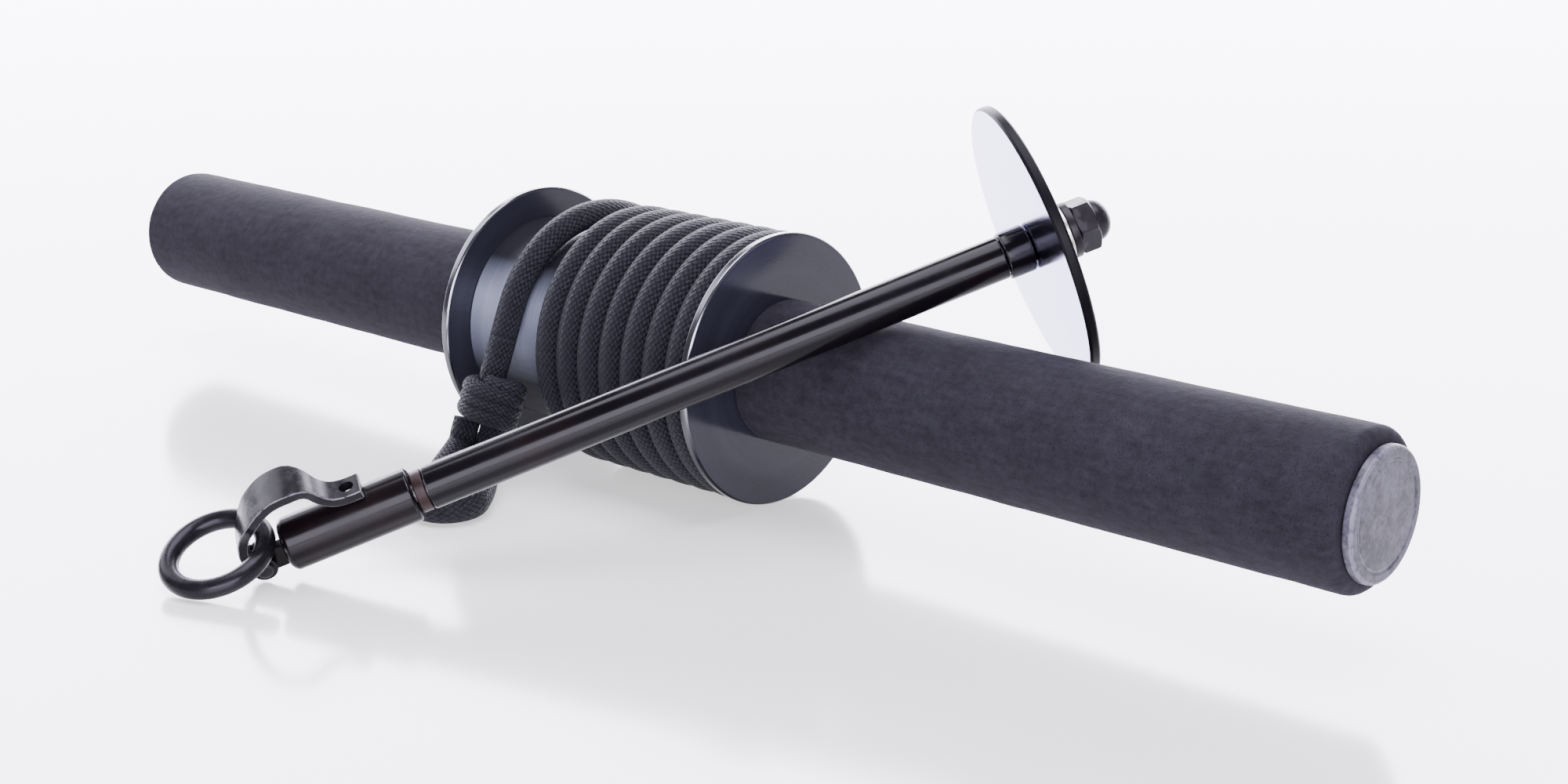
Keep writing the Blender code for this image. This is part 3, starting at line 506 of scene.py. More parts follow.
def pick_rim(piece, height):
    """Selects the corners of the open rim that lies at a height."""
    shape = bmesh.from_edit_mesh(piece.data)
    for corner in shape.verts:
        is_open = any(len(edge.link_faces) == 1 for edge in corner.link_edges)
        if is_open and abs(corner.co.z + piece.location.z - height) < 1e-7:
            corner.select = True
    shape.select_flush_mode()
    shape.select_flush(True)
    bmesh.update_edit_mesh(piece.data)


def choose(piece):
    """Selects one piece alone and makes it the one that is worked on."""
    bpy.ops.object.select_all(action="DESELECT")
    piece.select_set(True)
    bpy.context.view_layer.objects.active = piece


def settle(piece, place):
    """Carries a piece to its place and leaves the place in its mesh."""
    choose(piece)
    piece.matrix_world = place @ piece.matrix_world
    bpy.ops.object.transform_apply(location=True, rotation=True, scale=True)


def apply_all(piece):
    """Applies each modifier of a piece in turn."""
    choose(piece)
    for change in list(piece.modifiers):
        bpy.ops.object.modifier_apply(modifier=change.name)


def soften(piece, width, steps=2, smooth_deg=35.0):
    """Rounds the corners of a piece, in millimetres, and shades it without a seam."""
    if width:
        change = piece.modifiers.new("rounded", "BEVEL")
        change.width = width * MM
        change.segments = steps
        change.limit_method = "ANGLE"
        change.angle_limit = math.radians(30.0)
    apply_all(piece)
    bpy.ops.object.shade_smooth_by_angle(angle=math.radians(smooth_deg))
    even = piece.modifiers.new("even", "WEIGHTED_NORMAL")
    even.keep_sharp = True
    apply_all(piece)
    mark_edges(piece)


def mark_edges(piece):
    """Marks the middle of each rounded corner, where the finish wears through first."""
    least_turn, most_turn, longest = 17.0, 60.0, 1.3 * MM
    shape = bmesh.new()
    shape.from_mesh(piece.data)
    layer = shape.verts.layers.float.new("edge")
    for corner in shape.verts:
        sharp = False
        longest_flat = 0.0
        for edge in corner.link_edges:
            turn = math.degrees(edge.calc_face_angle(0.0))
            sharp = sharp or least_turn <= turn < most_turn
            if turn < least_turn:
                longest_flat = max(longest_flat, edge.calc_length())
        corner[layer] = 1.0 if sharp and longest_flat < longest else 0.0
    shape.to_mesh(piece.data)
    shape.free()


def along_axis(origin, way, side):
    """Gives the place of a turned piece whose axis runs one way, with its first side turned."""
    up = way.normalized()
    first = (side - up * side.dot(up)).normalized()
    place = Matrix((first, up.cross(first), up)).transposed().to_4x4()
    place.translation = origin
    return place


# Fine rings left by a lathe tool: narrow bands of height and tone about the piece's own axis.
lathe, lathe_in, lathe_out = new_group("lathe_rings", "Place", ("Fineness",), ("Height", "Shade"))
lathe_split = lathe.nodes.new("ShaderNodeSeparateXYZ")
lathe.links.new(lathe_in.outputs["Place"], lathe_split.inputs[0])
lathe_x = calc(lathe, "MULTIPLY", lathe_split.outputs[0], lathe_split.outputs[0])
lathe_y = calc(lathe, "MULTIPLY", lathe_split.outputs[1], lathe_split.outputs[1])
lathe_reach = calc(lathe, "SQRT", calc(lathe, "ADD", lathe_x, lathe_y))
lathe_height = calc(lathe, "MULTIPLY", lathe_split.outputs[2], 0.7)
lathe_both = calc(lathe, "ADD", lathe_reach, lathe_height)
lathe_count = calc(lathe, "MULTIPLY", lathe_both, lathe_in.outputs["Fineness"])
for label, scale, detail in (("Height", 1.0, 3.0), ("Shade", 0.09, 2.0)):
    lathe_line = lathe.nodes.new("ShaderNodeTexNoise")
    lathe_line.noise_dimensions = "1D"
    lathe_line.inputs["Scale"].default_value = scale
    lathe_line.inputs["Detail"].default_value = detail
    lathe.links.new(lathe_count, lathe_line.inputs["W"])
    lathe.links.new(lathe_line.outputs[0], lathe_out.inputs[label])

# Wear: a worn finish shows first where the surface turns, in broken patches, and here and there
# as a faint rub on the open faces.
wear, wear_in, wear_out = new_group("wear", "Place", ("Edge", "Amount"), ("Worn", "Rub"))
wear_patch = noise(wear, wear_in.outputs["Place"], 500.0, 3.0, 0.6)
wear_grown = calc(wear, "MULTIPLY", wear_in.outputs["Edge"], wear_in.outputs["Amount"])
wear_sum = calc(wear, "ADD", wear_grown, wear_patch)
wear.links.new(spread(wear, wear_sum, 0.82, 1.0, 0.0, 1.0), wear_out.inputs["Worn"])
rub_patch = noise(wear, wear_in.outputs["Place"], 45.0, 4.0, 0.6)
wear.links.new(spread(wear, rub_patch, 0.5, 0.75, 0.0, 1.0), wear_out.inputs["Rub"])


def rings_about(tree, place, origin, way, fineness):
    """Lays the lathe's rings true on a turned axis of a piece."""
    node = tree.nodes.new("ShaderNodeMapping")
    node.vector_type = "TEXTURE"
    node.inputs["Location"].default_value = origin
    node.inputs["Rotation"].default_value = way.to_track_quat("Z", "Y").to_euler()
    tree.links.new(place, node.inputs["Vector"])
    return place_group(tree, lathe, Place=node.outputs[0], Fineness=fineness)


def wear_marks(tree, place, amount):
    """Lays wear on a piece where its surface turns, as that was written on the piece."""
    node = tree.nodes.new("ShaderNodeAttribute")
    node.attribute_name = "edge"
    return place_group(tree, wear, Place=place, Edge=node.outputs["Fac"], Amount=amount)


def height_share(tree, place, low, high):
    """Gives 0 below one height of the piece and 1 above another, with a smooth change between."""
    split = tree.nodes.new("ShaderNodeSeparateXYZ")
    tree.links.new(place, split.inputs[0])
    return spread(tree, split.outputs[2], low, high, 0.0, 1.0)


def add_tones(tree, first, first_share, second, second_share):
    """Adds two tones, each by its share."""
    rest = calc(tree, "MULTIPLY", second, second_share)
    return calc(tree, "MULTIPLY_ADD", first, first_share, rest)


flange_dark, tree, shader, place = new_finish(
    "flange_dark", (0.012, 0.012, 0.017), 0.0, 0.16, shine=0.3
)
rings = rings_about(tree, place, ROLLER_AXIS, AXIS_X, 2400.0)
marks = wear_marks(tree, place, 0.45)
cloud = noise(tree, place, 30.0, 3.0)
tone = add_tones(tree, rings["Shade"], 0.35, cloud, 0.5)
colour = blend(tree, tone, (0.008, 0.008, 0.0115), (0.021, 0.020, 0.031))
worn = calc(tree, "MULTIPLY", marks["Worn"], 0.7)
colour = blend(tree, worn, colour, (0.36, 0.36, 0.39))
dull = spread(tree, cloud, 0.3, 0.7, 0.12, 0.22)
cover(tree, shader, colour, rings["Height"], 0.00001, 0.5, dull)

# The rim is painted darker below its middle height, as painted shade, and bright above.
rim_bright, tree, shader, place = new_finish("rim_bright", (0.60, 0.60, 0.64), 1.0, 0.14)
rings = rings_about(tree, place, ROLLER_AXIS, AXIS_X, 5200.0)
colour = blend(tree, rings["Shade"], (0.09, 0.09, 0.10), (0.27, 0.27, 0.30))
# Below this height share the rim's colour is darkened: painted shade on the lower rim.
painted_light_share = height_share(tree, place, 0.020, 0.042)
colour = blend(tree, painted_light_share, (0.012, 0.012, 0.015), colour)
dull = spread(tree, rings["Height"], 0.3, 0.7, 0.12, 0.24)
cover(tree, shader, colour, rings["Height"], 0.00002, 0.5, dull)

flange_profile = [(47.2, 14.3), (47.2, 37.75), (47.65, 38.3), (49.45, 38.3)]
flange_profile += [(49.9, 37.75), (49.9, 14.3), (47.2, 14.3)]
roller_ends = [
    (side, along_axis(ROLLER_AXIS, AXIS_X * way, Vector((0.0, 0.0, 1.0))))
    for side, way in (("right", 1.0), ("left", -1.0))
]
for side, end_place in roller_ends:
    flange = turned_piece("spool_flange_" + side, flange_profile, RIM_SIDES, end_place, ring=True)
    flange.data.materials.append(flange_dark)
    flange.data.materials.append(rim_bright)
    for face in flange.data.polygons:
        away = face.center - ROLLER_AXIS
        if math.hypot(away.y, away.z) > FLANGE_RIM_FROM:
            face.material_index = 1
    soften(flange, 0.18, 2)
    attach(flange, "roller")
    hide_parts("flange_" + side)


# Grips: closed-cell foam tube pushed over the axle, its outer end rounded over. The skin is
# matt, finely pored and a little uneven from the mould and from being held.
foam, tree, shader, place = new_finish(
    "grip_foam", (0.02, 0.02, 0.03), 0.0, 0.8, sheen=0.02, shine=0.08
)
shader.inputs["Sheen Roughness"].default_value = 0.6
shader.inputs["Sheen Tint"].default_value = (0.62, 0.6, 0.74, 1.0)
pores = tree.nodes.new("ShaderNodeTexVoronoi")
pores.inputs["Scale"].default_value = 1500.0
tree.links.new(place, pores.inputs["Vector"])
mottle = noise(tree, place, 420.0, 4.0, 0.65)
streaks = tree.nodes.new("ShaderNodeMapping")
streaks.inputs["Scale"].default_value = (0.22, 1.0, 1.0)
tree.links.new(place, streaks.inputs["Vector"])
streak = noise(tree, streaks.outputs[0], 520.0, 2.0)
cloud = noise(tree, place, 38.0, 3.0)
tone = add_tones(tree, mottle, 0.55, streak, 0.35)
tone = calc(tree, "MULTIPLY_ADD", cloud, 0.35, tone)
tone = spread(tree, tone, 0.45, 0.82, 0.0, 1.0)
colour = blend(tree, tone, (0.0078, 0.0068, 0.0094), (0.0184, 0.0166, 0.0228))
# Each pore is darkened in colour as well as sunk: painted shade in the pits.
pit = spread(tree, pores.outputs["Distance"], 0.0, 0.35, 0.0, 1.0)
colour = blend(tree, pit, (0.002, 0.002, 0.003), colour)
cover(tree, shader, colour, add_tones(tree, mottle, 0.9, pit, 0.5), 0.00035, 0.7)

uneven = bpy.data.textures.new("uneven_foam", "CLOUDS")
uneven.noise_scale = 0.022
grip_profile = [(50.2, 14.3), (50.2, 19.3), (50.4, 19.8), (50.9, 20.0)]
grip_steps = 44
grip_profile += [(50.9 + 177.1 * step / grip_steps, 20.0) for step in range(1, grip_steps + 1)]
grip_profile += arc((228.0, 16.8), (3.2, 3.2), 15.0, range(1, 7))
grip_profile += [(231.2, 14.3), (50.2, 14.3)]
for side, end_place in roller_ends:
    grip = turned_piece("foam_" + side, grip_profile, 96, end_place, ring=True)
    wavy = grip.modifiers.new("uneven", "DISPLACE")
    wavy.texture = uneven
    wavy.texture_coords = "LOCAL"
    wavy.strength = 0.0005
    wavy.mid_level = 0.6
    apply_all(grip)
    soften(grip, 0.0, smooth_deg=50.0)
    grip.data.materials.append(foam)
    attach(grip, "roller")
    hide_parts("grip_" + side)


# End plugs: light grey moulded caps pushed into the axle's ends, with a low rim over the foam.
# The face is finely mottled and slightly scuffed.
plug_grey, tree, shader, place = new_finish("plug_grey", (0.10, 0.10, 0.13), 0.0, 0.45, shine=0.3)
blotch = noise(tree, place, 190.0, 4.0, 0.7)
speck = noise(tree, place, 900.0, 3.0, 0.7)
marks = wear_marks(tree, place, 0.5)
tone = spread(tree, calc(tree, "MULTIPLY_ADD", speck, 0.4, blotch), 0.58, 0.84, 0.0, 1.0)
colour = blend(tree, tone, (0.018, 0.0165, 0.024), (0.085, 0.079, 0.104))
worn = calc(tree, "MULTIPLY", marks["Worn"], 0.6)
colour = blend(tree, worn, colour, (0.16, 0.15, 0.20))
dull = spread(tree, blotch, 0.3, 0.7, 0.34, 0.55)
skin = calc(tree, "MULTIPLY_ADD", speck, 0.5, blotch)
cover(tree, shader, colour, skin, 0.00018, 0.6, dull)

plug_profile = [(215.3, 9.7), (231.5, 11.7), (231.5, 16.1), (231.8, 16.4)]
plug_profile += arc((233.0, 15.3), (1.1, 1.1), 18.0, range(6))
plug_profile += [(234.1, 13.9), (233.85, 13.5), (233.85, 12.9), (234.05, 12.5), (234.1, 3.0)]
for side, end_place in roller_ends:
    plug = turned_piece("plug_" + side, plug_profile, 96, end_place)
    soften(plug, 0.12, 2)
    plug.data.materials.append(plug_grey)
    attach(plug, "roller")
    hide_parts("end_plug_" + side)


# Axle, drum and cord anchor: a bare steel tube through the whole roller, a grey turned core on
# it, and the block that holds the cord's inner end. They keep the shapes of the model's parts.
# The drum is painted bright in a band over its middle height, with painted shade over and under.
drum_grey, tree, shader, place = new_finish("drum_grey", (0.05, 0.05, 0.06), 0.25, 0.3, shine=0.15)
rings = rings_about(tree, place, ROLLER_AXIS, AXIS_X, 3800.0)
cloud = noise(tree, place, 60.0, 3.0)
tone = add_tones(tree, rings["Shade"], 0.6, cloud, 0.4)
colour = blend(tree, tone, (0.14, 0.155, 0.20), (0.27, 0.295, 0.37))
# These height shares bound the painted highlight band; under and over it the colour is painted
# shade.
rub_and_painted_band = height_share(tree, place, 0.026, 0.046)
painted_band_high = height_share(tree, place, 0.050, 0.060)
colour = blend(tree, rub_and_painted_band, (0.009, 0.009, 0.012), colour)
colour = blend(tree, painted_band_high, colour, (0.014, 0.014, 0.018))
dull = spread(tree, rub_and_painted_band, 0.0, 1.0, 0.65, 0.22)
dull = calc(tree, "MULTIPLY_ADD", rings["Height"], 0.14, dull)
cover(tree, shader, colour, rings["Height"], 0.00003, 0.6, dull)
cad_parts["spool_drum"].material_slots[0].material = drum_grey

bare_steel, tree, shader, place = new_finish("bare_steel", (0.5, 0.5, 0.52), 1.0, 0.34)
grain = noise(tree, place, 700.0, 3.0)
colour = blend(tree, grain, (0.38, 0.38, 0.40), (0.58, 0.58, 0.60))
dull = spread(tree, grain, 0.3, 0.7, 0.26, 0.42)
cover(tree, shader, colour, grain, 0.00003, 0.5, dull)
for name in ("axle_tube", "cord_anchor", "swivel_pin"):
    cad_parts[name].material_slots[0].material = bare_steel


# Post bar: a round steel bar in thick gloss black paint, rubbed a little brown where plates slide
# over it. A stud turned on its end goes through the collar, the disc, the washers and the nut.
POST_FOOT = Vector((0.1140353, 0.0784418, 0.0785402))
POST_WAY = Vector((-0.5706852, -0.7480475, -0.3387379))
POST_SIDE = Vector((0.7950440, -0.6065380, 0.0))
post_place = along_axis(POST_FOOT, POST_WAY, POST_SIDE)


def painted_black(name):
    """Makes the gloss black paint, with its soft unevenness, faint brown rubs and chipped edges."""
    finish, tree, shader, place = new_finish(name, (0.004, 0.004, 0.005), 0.0, 0.17, shine=0.13)
    marks = wear_marks(tree, place, 0.42)
    cloud = noise(tree, place, 55.0, 4.0, 0.6)
    colour = blend(tree, cloud, (0.0015, 0.0013, 0.0018), (0.0040, 0.0032, 0.0042))
    rub = calc(tree, "MULTIPLY", marks["Rub"], 0.55)
    colour = blend(tree, rub, colour, (0.0070, 0.0028, 0.0030))
    worn = calc(tree, "MULTIPLY", marks["Worn"], 0.5)
    colour = blend(tree, worn, colour, (0.10, 0.09, 0.10))
    dull = spread(tree, cloud, 0.3, 0.75, 0.12, 0.28)
    cover(tree, shader, colour, noise(tree, place, 230.0, 2.0), 0.00006, 0.35, dull)
    return finish


post_black = painted_black("post_black")
bar_steps = 12
bar_profile = [(-19.0, 3.4), (-18.4, 4.0), (7.8, 4.0), (7.8, 5.8)]
bar_profile += [(7.8 + 160.4 * step / bar_steps, 5.8) for step in range(1, bar_steps + 1)]
bar = turned_piece("bar", bar_profile, 64, post_place)
soften(bar, 0.4, 3)
bar.data.materials.append(post_black)
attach(bar, "post")
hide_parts("post_bar")


# Collar: a short steel sleeve in the bar's black paint. It is pushed on the stud and held between
# the bar's shoulder and the disc.
def plain_ring(name, ends, radii, sides, place):
    """Makes a ring between two places on its axis and between two radii, in millimetres."""
    (near, far), (hole, reach) = ends, radii
    profile = [(near, hole), (near, reach), (far, reach), (far, hole), (near, hole)]
    return turned_piece(name, profile, sides, place, ring=True)


collar = plain_ring("collar", (0.3, 7.5), (4.3, 6.4), 64, post_place)
soften(collar, 0.6, 3)
collar.data.materials.append(post_black)
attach(collar, "post")
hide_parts("post_collar")


# Plate disc: a thin steel disc that carries the plates. Its faces are polished bright, with the
# faint rings of the polishing wheel, and its edge is black.
disc_mirror, tree, shader, place = new_finish("disc_mirror", (0.72, 0.72, 0.84), 1.0, 0.09)
rings = rings_about(tree, place, POST_FOOT, POST_WAY, 3000.0)
cloud = noise(tree, place, 40.0, 3.0)
colour = blend(tree, rings["Shade"], (0.40, 0.39, 0.64), (0.48, 0.47, 0.73))
dull = spread(tree, cloud, 0.3, 0.7, 0.07, 0.15)
cover(tree, shader, colour, rings["Height"], 0.000004, 0.4, dull)

disc_edge, tree, shader, place = new_finish(
    "disc_edge", (0.003, 0.003, 0.004), 0.0, 0.35, shine=0.06
)
cloud = noise(tree, place, 120.0, 3.0)
colour = blend(tree, cloud, (0.0020, 0.0018, 0.0024), (0.0060, 0.0052, 0.0065))
cover(tree, shader, colour, cloud, 0.00003, 0.4)

DISC_RIM_FROM = 0.0376
disc_profile = [(0.0, 4.3), (0.0, 37.7), (-0.6, 38.3), (-2.4, 38.3)]
disc_profile += [(-3.0, 37.7), (-3.0, 4.3), (0.0, 4.3)]
disc = turned_piece("disc", disc_profile, RIM_SIDES, post_place, ring=True)
disc.data.materials.append(disc_mirror)
disc.data.materials.append(disc_edge)
for face in disc.data.polygons:
    away = face.center - POST_FOOT
    off_axis = away - POST_WAY * away.dot(POST_WAY)
    if off_axis.length > DISC_RIM_FROM:
        face.material_index = 1
soften(disc, 0.18, 2)
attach(disc, "post")
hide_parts("plate_disc")


# Spacer and washers: behind the disc a black spacer, a pale zinc-plated washer and a dark lock
# washer sit on the stud, each a plain ring with its edges broken.
zinc_pale, tree, shader, place = new_finish("zinc_pale", (0.60, 0.59, 0.54), 1.0, 0.28)
rings = rings_about(tree, place, POST_FOOT, POST_WAY, 5200.0)
cloud = noise(tree, place, 240.0, 3.0)
tone = add_tones(tree, rings["Shade"], 0.5, cloud, 0.5)
colour = blend(tree, tone, (0.56, 0.55, 0.48), (0.82, 0.81, 0.76))
dull = spread(tree, cloud, 0.3, 0.7, 0.22, 0.38)
cover(tree, shader, colour, rings["Height"], 0.00002, 0.5, dull)


def dark_hardware(name, light, roughness, metallic=0.45, rub_and_painted_band=0.7, depth=0.00006):
    """Makes blackened steel: dark, part metallic, paler where the edges have worn."""
    finish, tree, shader, place = new_finish(
        name, (0.03, 0.03, 0.035), metallic, roughness, shine=0.15
    )
    marks = wear_marks(tree, place, 0.55)
    cloud = noise(tree, place, 210.0, 4.0, 0.65)
    colour = blend(tree, cloud, tuple(0.45 * part for part in light), light)
    worn = calc(tree, "MULTIPLY", marks["Worn"], rub_and_painted_band)
    colour = blend(tree, worn, colour, (0.16, 0.15, 0.17))
    dull = spread(tree, cloud, 0.3, 0.7, 0.7 * roughness, 1.35 * roughness)
    cover(tree, shader, colour, cloud, depth, 0.5, dull)
    return finish


hardware = dark_hardware("hardware_dark", (0.020, 0.0165, 0.020), 0.34, metallic=0.25, rub_and_painted_band=0.12)
stack = [
    ("spacer_ring", "disc_spacer", -3.3, -8.3, 7.0, 0.5, post_black, "post_black"),
    ("zinc_washer", "plain_washer", -8.6, -10.1, 8.2, 0.25, zinc_pale, "washer_zinc"),
    ("spring_washer", "lock_washer", -10.4, -12.4, 7.6, 0.3, hardware, "hardware_dark"),
]
for name, node, near, far, reach, edge, finish, slot_name in stack:
    washer = plain_ring(name, (near, far), (4.3, reach), 64, post_place)
    soften(washer, edge, 2)
    washer.data.materials.append(finish)
    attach(washer, "post")
    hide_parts(node)


# Dome nut: a blackened cap nut with its six corners turned off at both ends and a round dome
# that covers the stud's thread.
def cut_or_join(piece, tool, kind):
    """Cuts a piece by a second shape, or joins the two, and removes the second shape."""
    change = piece.modifiers.new(kind.lower(), "BOOLEAN")
    change.operation = kind
    change.object = tool
    change.solver = "EXACT"
    apply_all(piece)
    bpy.data.objects.remove(tool, do_unlink=True)


def clean_cuts(piece, join=0.02, flat_deg=1.0):
    """Joins corners closer than a length in millimetres and clears slivers off a cut piece."""
    choose(piece)
    bpy.ops.object.mode_set(mode="EDIT")
    bpy.ops.mesh.select_all(action="SELECT")
    bpy.ops.mesh.remove_doubles(threshold=join * MM)
    bpy.ops.mesh.dissolve_degenerate(threshold=join * MM)
    if flat_deg:
        bpy.ops.mesh.dissolve_limited(angle_limit=math.radians(flat_deg))
    bpy.ops.mesh.select_all(action="DESELECT")
    bpy.ops.object.mode_set(mode="OBJECT")


nut = turned_piece("cap_nut", [(12.7, 7.506), (18.3, 7.506)], 6, Matrix.Identity(4))
corner_profile = [(12.7, 6.7), (13.2, 7.6), (17.3, 7.6), (18.3, 5.9), (18.3, 3.0)]
corner_cutter = turned_piece("corner_cutter", corner_profile, 64, Matrix.Identity(4))
dome_profile = [(17.8, 5.6), *arc((18.3, 0.0), (4.4, 5.6), 10.0, range(9)), (22.7, 0.3)]
dome = turned_piece("dome", dome_profile, 48, Matrix.Identity(4))
cut_or_join(nut, corner_cutter, "INTERSECT")
clean_cuts(nut)
soften(nut, 0.15, 2)
cut_or_join(nut, dome, "UNION")
turn_to_side = Matrix.Rotation(math.radians(-90.0), 4, "Z")
settle(nut, along_axis(POST_FOOT, -POST_WAY, POST_SIDE) @ turn_to_side)
clean_cuts(nut, 0.01, 0.0)
soften(nut, 0.0)
nut.data.materials.append(hardware)
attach(nut, "post")
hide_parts("dome_nut")


# Neck ring: a thin turned ring of dark brown bronze. It sits loose on the swivel pin and keeps the
# turning barrel off the bar's end.
SWIVEL = Vector((0.0180461, -0.0473798, 0.0215645))
JAW_UP = Vector((0.078854, -0.460519, 0.884131))
JAW_ACROSS = Vector((-0.8173741, 0.4778539, 0.3218001))
head_place = along_axis(SWIVEL, POST_WAY, JAW_UP)
bronze, tree, shader, place = new_finish("bronze_neck", (0.02, 0.01, 0.01), 0.2, 0.35, shine=0.2)
rings = rings_about(tree, place, SWIVEL, POST_WAY, 5200.0)
cloud = noise(tree, place, 300.0, 4.0, 0.6)
tone = add_tones(tree, rings["Shade"], 0.4, cloud, 0.6)
colour = blend(tree, tone, (0.006, 0.0028, 0.0028), (0.022, 0.0095, 0.0090))
dull = spread(tree, cloud, 0.3, 0.7, 0.32, 0.5)
cover(tree, shader, colour, rings["Height"], 0.00003, 0.6, dull)
neck = plain_ring("neck", (0.3, 3.3), (2.8, 5.6), 56, head_place)
soften(neck, 0.4, 3)
neck.data.materials.append(bronze)
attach(neck, "head")
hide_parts("neck_ring")


# Swivel barrel: a gloss black sleeve, bored at its near end for the bar's pin, which it turns on.
# A flat tongue is milled at its far end, rounded and drilled for the jaw's cross pin.
BARREL_END = 39.1
PIN_OUT = 45.6
PIN_DROP = -1.7
flat_head = Matrix((POST_WAY, JAW_UP, JAW_ACROSS)).transposed().to_4x4()
flat_head.translation = SWIVEL
pin_middle = SWIVEL + POST_WAY * PIN_OUT * MM + JAW_UP * PIN_DROP * MM
pin_place = along_axis(pin_middle, JAW_ACROSS, POST_WAY)


def cross_rod(name, radius, half):
    """Makes a round rod along the jaw's cross pin."""
    return turned_piece(name, [(-half, radius), (half, radius)], 40, pin_place)


def head_block(name, size, middle):
    """Makes a rectangular block that lies true to the head, in millimetres."""
    bpy.ops.mesh.primitive_cube_add(size=1.0, location=(0.0, 0.0, 0.0))
    piece = bpy.context.object
    piece.name = name
    piece.scale = [side * MM for side in size]
    piece.location = [way * MM for way in middle]
    settle(piece, flat_head)
    return piece


barrel_profile = [(3.6, 2.8), (3.6, 6.6), (4.2, 7.2), (37.6, 7.2), (38.5, 6.6)]
barrel = turned_piece("barrel", barrel_profile + [(BARREL_END, 5.7)], 72, head_place)
tongue = head_block(
    "tongue",
    (PIN_OUT - BARREL_END + 1.0, 6.4, 3.2),
    (0.5 * (PIN_OUT + BARREL_END - 1.0), PIN_DROP, 0.0),
)
cut_or_join(tongue, cross_rod("tongue_end", 3.2, 1.6), "UNION")
clean_cuts(tongue)
soften(tongue, 0.2, 2)
soften(barrel, 0.22, 2)
cut_or_join(barrel, tongue, "UNION")
cut_or_join(barrel, cross_rod("tongue_hole", 1.7, 3.0), "DIFFERENCE")
room_profile = [(3.0, 2.8), (8.6, 2.8), (8.6, 4.6), (11.2, 4.6)]
pin_room = turned_piece("pin_room", room_profile, 72, head_place)
cut_or_join(barrel, pin_room, "DIFFERENCE")
clean_cuts(barrel, 0.01, 0.0)
soften(barrel, 0.0)
barrel.data.materials.append(painted_black("barrel_black"))
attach(barrel, "head")
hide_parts("swivel_barrel")


# Cross pin: a blackened steel rivet through the strap's fork and the tongue, its two ends hammered
# to low rounded heads.
half_pin = [(4.5, 1.4), (4.5, 2.3), (4.75, 2.3), (5.05, 1.8), (5.2, 1.0)]
pin_profile = [(-along, radius) for along, radius in half_pin[::-1]] + half_pin
pin = turned_piece("rivet", pin_profile, 40, pin_place)
soften(pin, 0.08, 2)
pin.data.materials.append(hardware)
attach(pin, "head")
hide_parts("jaw_pin")


# Strap jaw: one piece of thick steel strap bent round in a hook over the ring. It is forked and
# drilled where the cross pin holds it, and ends in a flat tab with a hole, on top of the barrel.
STRAP_THICK = 2.6
STRAP_NARROW = 8.4
STRAP_SWELL = 5.2
STRAP_SHRINK = 5.6
TAB_HEIGHT = 8.9
strap_line = [(7.8, -1.7), (9.7, 2.1), (9.1, 6.5), (6.7, 10.7), (3.4, 14.3), (-1.9, 17.4)]
strap_line += [(-7.8, 17.8), (-11.2, 15.9), (-13.4, 12.4), (-16.2, 9.8)]
strap_line += [(-19.6, TAB_HEIGHT), (-24.2, TAB_HEIGHT)]
strap_middle = smooth_line([Vector((BARREL_END + a, b, 0.0)) for a, b in strap_line], 1.6)


def strap_turn(index):
    """Gives the strap's heading in its own plane at a point of its middle line."""
    before = strap_middle[max(index - 1, 0)]
    after = strap_middle[min(index + 1, len(strap_middle) - 1)]
    return math.atan2(after.y - before.y, after.x - before.x)


def strap_width(share):
    """Gives the strap's width at a share of its length: broad over the ring, narrow at the ends."""
    over = 0.16
    swell = eased((share - 0.20) / over, 1.0, 0.0, 0.0)
    shrink = eased((share - 0.58) / over, 1.0, 0.0, 0.0)
    return STRAP_NARROW + STRAP_SWELL * swell - STRAP_SHRINK * shrink


bpy.ops.mesh.primitive_plane_add(size=1.0, location=(0.0, 0.0, 0.0))
strap = bpy.context.object
strap.name = "strap"
strap.rotation_euler = (0.0, math.radians(90.0), 0.0)
strap.scale = (STRAP_NARROW * MM, STRAP_THICK * MM, 1.0)
bpy.ops.object.transform_apply(location=True, rotation=True, scale=True)
bpy.ops.object.mode_set(mode="EDIT")
bpy.ops.mesh.select_all(action="SELECT")
spot = tuple(strap_middle[0] * MM)
bpy.ops.transform.translate(value=spot)
bpy.ops.transform.rotate(value=-strap_turn(0), orient_axis="Z", center_override=spot)
widths = [strap_width(index / (len(strap_middle) - 1)) for index in range(len(strap_middle))]
for index in range(1, len(strap_middle)):
    spot = tuple(strap_middle[index] * MM)
    step = (strap_middle[index] - strap_middle[index - 1]) * MM
    bpy.ops.mesh.extrude_region_move(TRANSFORM_OT_translate={"value": tuple(step)})
    wider = widths[index] / widths[index - 1]
    bpy.ops.transform.resize(value=(1.0, 1.0, wider), center_override=spot)
    turn = strap_turn(index) - strap_turn(index - 1)
    turn = (turn + math.pi) % (2.0 * math.pi) - math.pi
    bpy.ops.transform.rotate(value=-turn, orient_axis="Z", center_override=spot)
close_mesh()
rounded = strap.modifiers.new("rounded", "BEVEL")
rounded.width = 0.5 * MM
rounded.segments = 3
rounded.limit_method = "ANGLE"
rounded.angle_limit = math.radians(50.0)
apply_all(strap)
settle(strap, flat_head)
cut_or_join(strap, cross_rod("strap_eye", 3.3, 4.2), "UNION")
fork_half = 5.0
fork_middle = (PIN_OUT + 3.5 - fork_half, PIN_DROP + 3.8 - fork_half, 0.0)
fork = head_block("fork", (2.0 * fork_half, 2.0 * fork_half, 3.8), fork_middle)
cut_or_join(strap, fork, "DIFFERENCE")
cut_or_join(strap, cross_rod("strap_hole", 1.7, 8.0), "DIFFERENCE")
tab_middle = SWIVEL + POST_WAY * (BARREL_END - 20.6) * MM + JAW_UP * TAB_HEIGHT * MM
drill_place = along_axis(tab_middle, JAW_UP, POST_WAY)
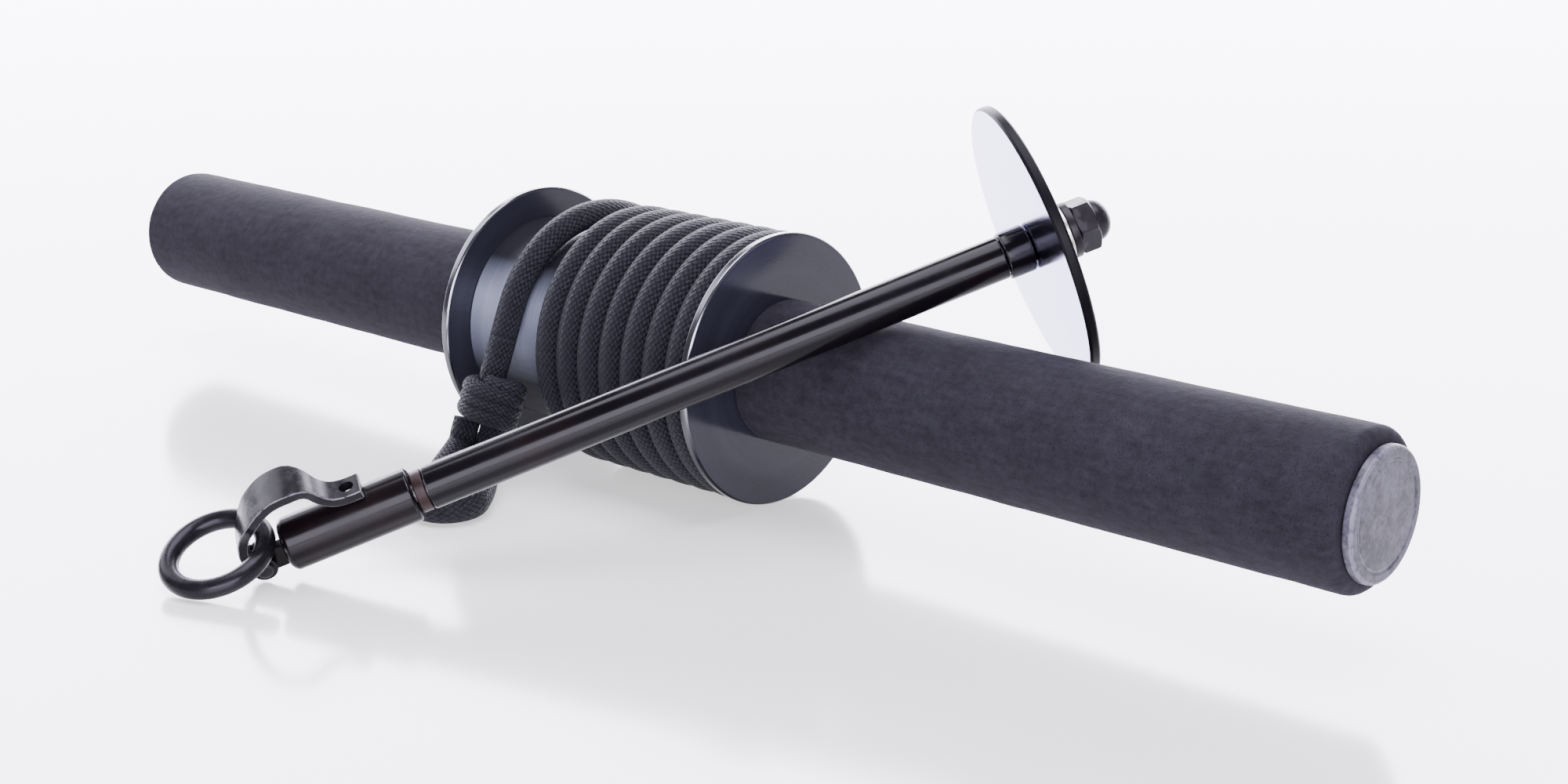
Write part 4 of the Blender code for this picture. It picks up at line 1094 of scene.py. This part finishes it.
tab_drill = turned_piece("tab_drill", [(-3.0, 1.9), (3.0, 1.9)], 40, drill_place)
cut_or_join(strap, tab_drill, "DIFFERENCE")
clean_cuts(strap, 0.02, 0.0)
soften(strap, 0.0, smooth_deg=28.0)
strap_dark = dark_hardware(
    "strap_dark", (0.0085, 0.0075, 0.0095), 0.26, metallic=0.12, depth=0.00002
)
strap.data.materials.append(strap_dark)
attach(strap, "jaw")
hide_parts("strap_jaw")


# Ring: round steel wire bent to a ring and butt welded, blackened and worn satin where it rubs
# on the jaw.
RING_MIDDLE = Vector((-0.0122143, -0.0916792, 0.0083048))
RING_FACE = Vector((0.148, -0.421, 0.895))
RING_TO_JAW = Vector((0.5173, 0.8042, 0.2927))
WIRE_RADIUS = 2.6 * MM
RING_RADIUS = 12.6 * MM
bpy.ops.mesh.primitive_circle_add(vertices=32, radius=WIRE_RADIUS, location=(0.0, 0.0, 0.0))
ring = bpy.context.object
ring.name = "wire_ring"
bpy.ops.object.mode_set(mode="EDIT")
bpy.ops.mesh.select_all(action="SELECT")
bpy.ops.transform.rotate(
    value=math.radians(90.0), orient_axis="X", center_override=(0.0, 0.0, 0.0)
)
bpy.ops.transform.translate(value=(RING_RADIUS, 0.0, 0.0))
bpy.ops.mesh.spin(
    steps=120, angle=2.0 * math.pi, center=(0.0, 0.0, 0.0), axis=(0.0, 0.0, 1.0)
)
close_mesh(1e-6)
settle(ring, along_axis(RING_MIDDLE, RING_FACE, RING_TO_JAW))
soften(ring, 0.0, smooth_deg=60.0)
ring.data.materials.append(dark_hardware("ring_steel", (0.016, 0.0145, 0.018), 0.26))
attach(ring, "ring")
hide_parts("ring")


# Floor: a broad sheet of white acrylic with a satin polish. It is pale all over and mirrors the
# pieces that stand near it a little softly, more strongly towards the back.
bpy.ops.mesh.primitive_plane_add(size=90.0, location=(0.0, 0.0, -0.0002))
floor = bpy.context.object
floor.name = "studio_floor"
floor_pale, tree, shader, place = new_finish("floor_pale", (0.65, 0.65, 0.65), 0.0, 0.15)
shader.inputs["IOR"].default_value = 2.3
shader.inputs["Emission Color"].default_value = (1.0, 1.0, 1.0, 1.0)
shader.inputs["Emission Strength"].default_value = 0.7
drift = noise(tree, place, 1.5, 2.0)
colour = blend(tree, drift, (0.64, 0.64, 0.64), (0.66, 0.66, 0.66))
tree.links.new(colour, shader.inputs["Base Color"])
floor.data.materials.append(floor_pale)


# Light: a wide white wall of light behind the object, which the floor mirrors, one small soft light
# on the left, a long one over the roller, a broad fill from behind the camera, and a dim room.
LAMP_COLOUR = (0.88, 0.86, 1.0)


def soft_light(name, spot, aim, wide, deep, power):
    """Hangs a rectangular studio light and turns it to its aim."""
    bpy.ops.object.light_add(type="AREA", location=spot)
    lamp = bpy.context.object
    lamp.name = name
    lamp.data.shape = "RECTANGLE"
    lamp.data.size = wide
    lamp.data.size_y = deep
    lamp.data.energy = power
    lamp.data.color = LAMP_COLOUR
    lamp.rotation_euler = (Vector(aim) - Vector(spot)).to_track_quat("-Z", "Y").to_euler()


soft_light("wall_light", (-1.27, 1.41, 0.75), (0.0, 0.0, 0.75), 4.4, 1.5, 330.0)
soft_light("left_light", (-1.3, -0.3, 0.9), (0.0, 0.0, 0.03), 1.0, 1.0, 15.0)
soft_light("top_light", (0.1, 0.0, 1.6), (0.1, 0.0, 0.0), 1.6, 1.0, 66.0)
soft_light("near_fill", (1.25, -1.25, 0.50), (0.05, 0.0, 0.03), 1.7, 0.9, 78.0)
room = bpy.context.scene.world
if room is None:
    room = bpy.data.worlds.new("room")
    bpy.context.scene.world = room
room.use_nodes = True
backdrop = room.node_tree.nodes["Background"]
backdrop.inputs["Color"].default_value = (0.90, 0.88, 1.0, 1.0)
backdrop.inputs["Strength"].default_value = 0.30
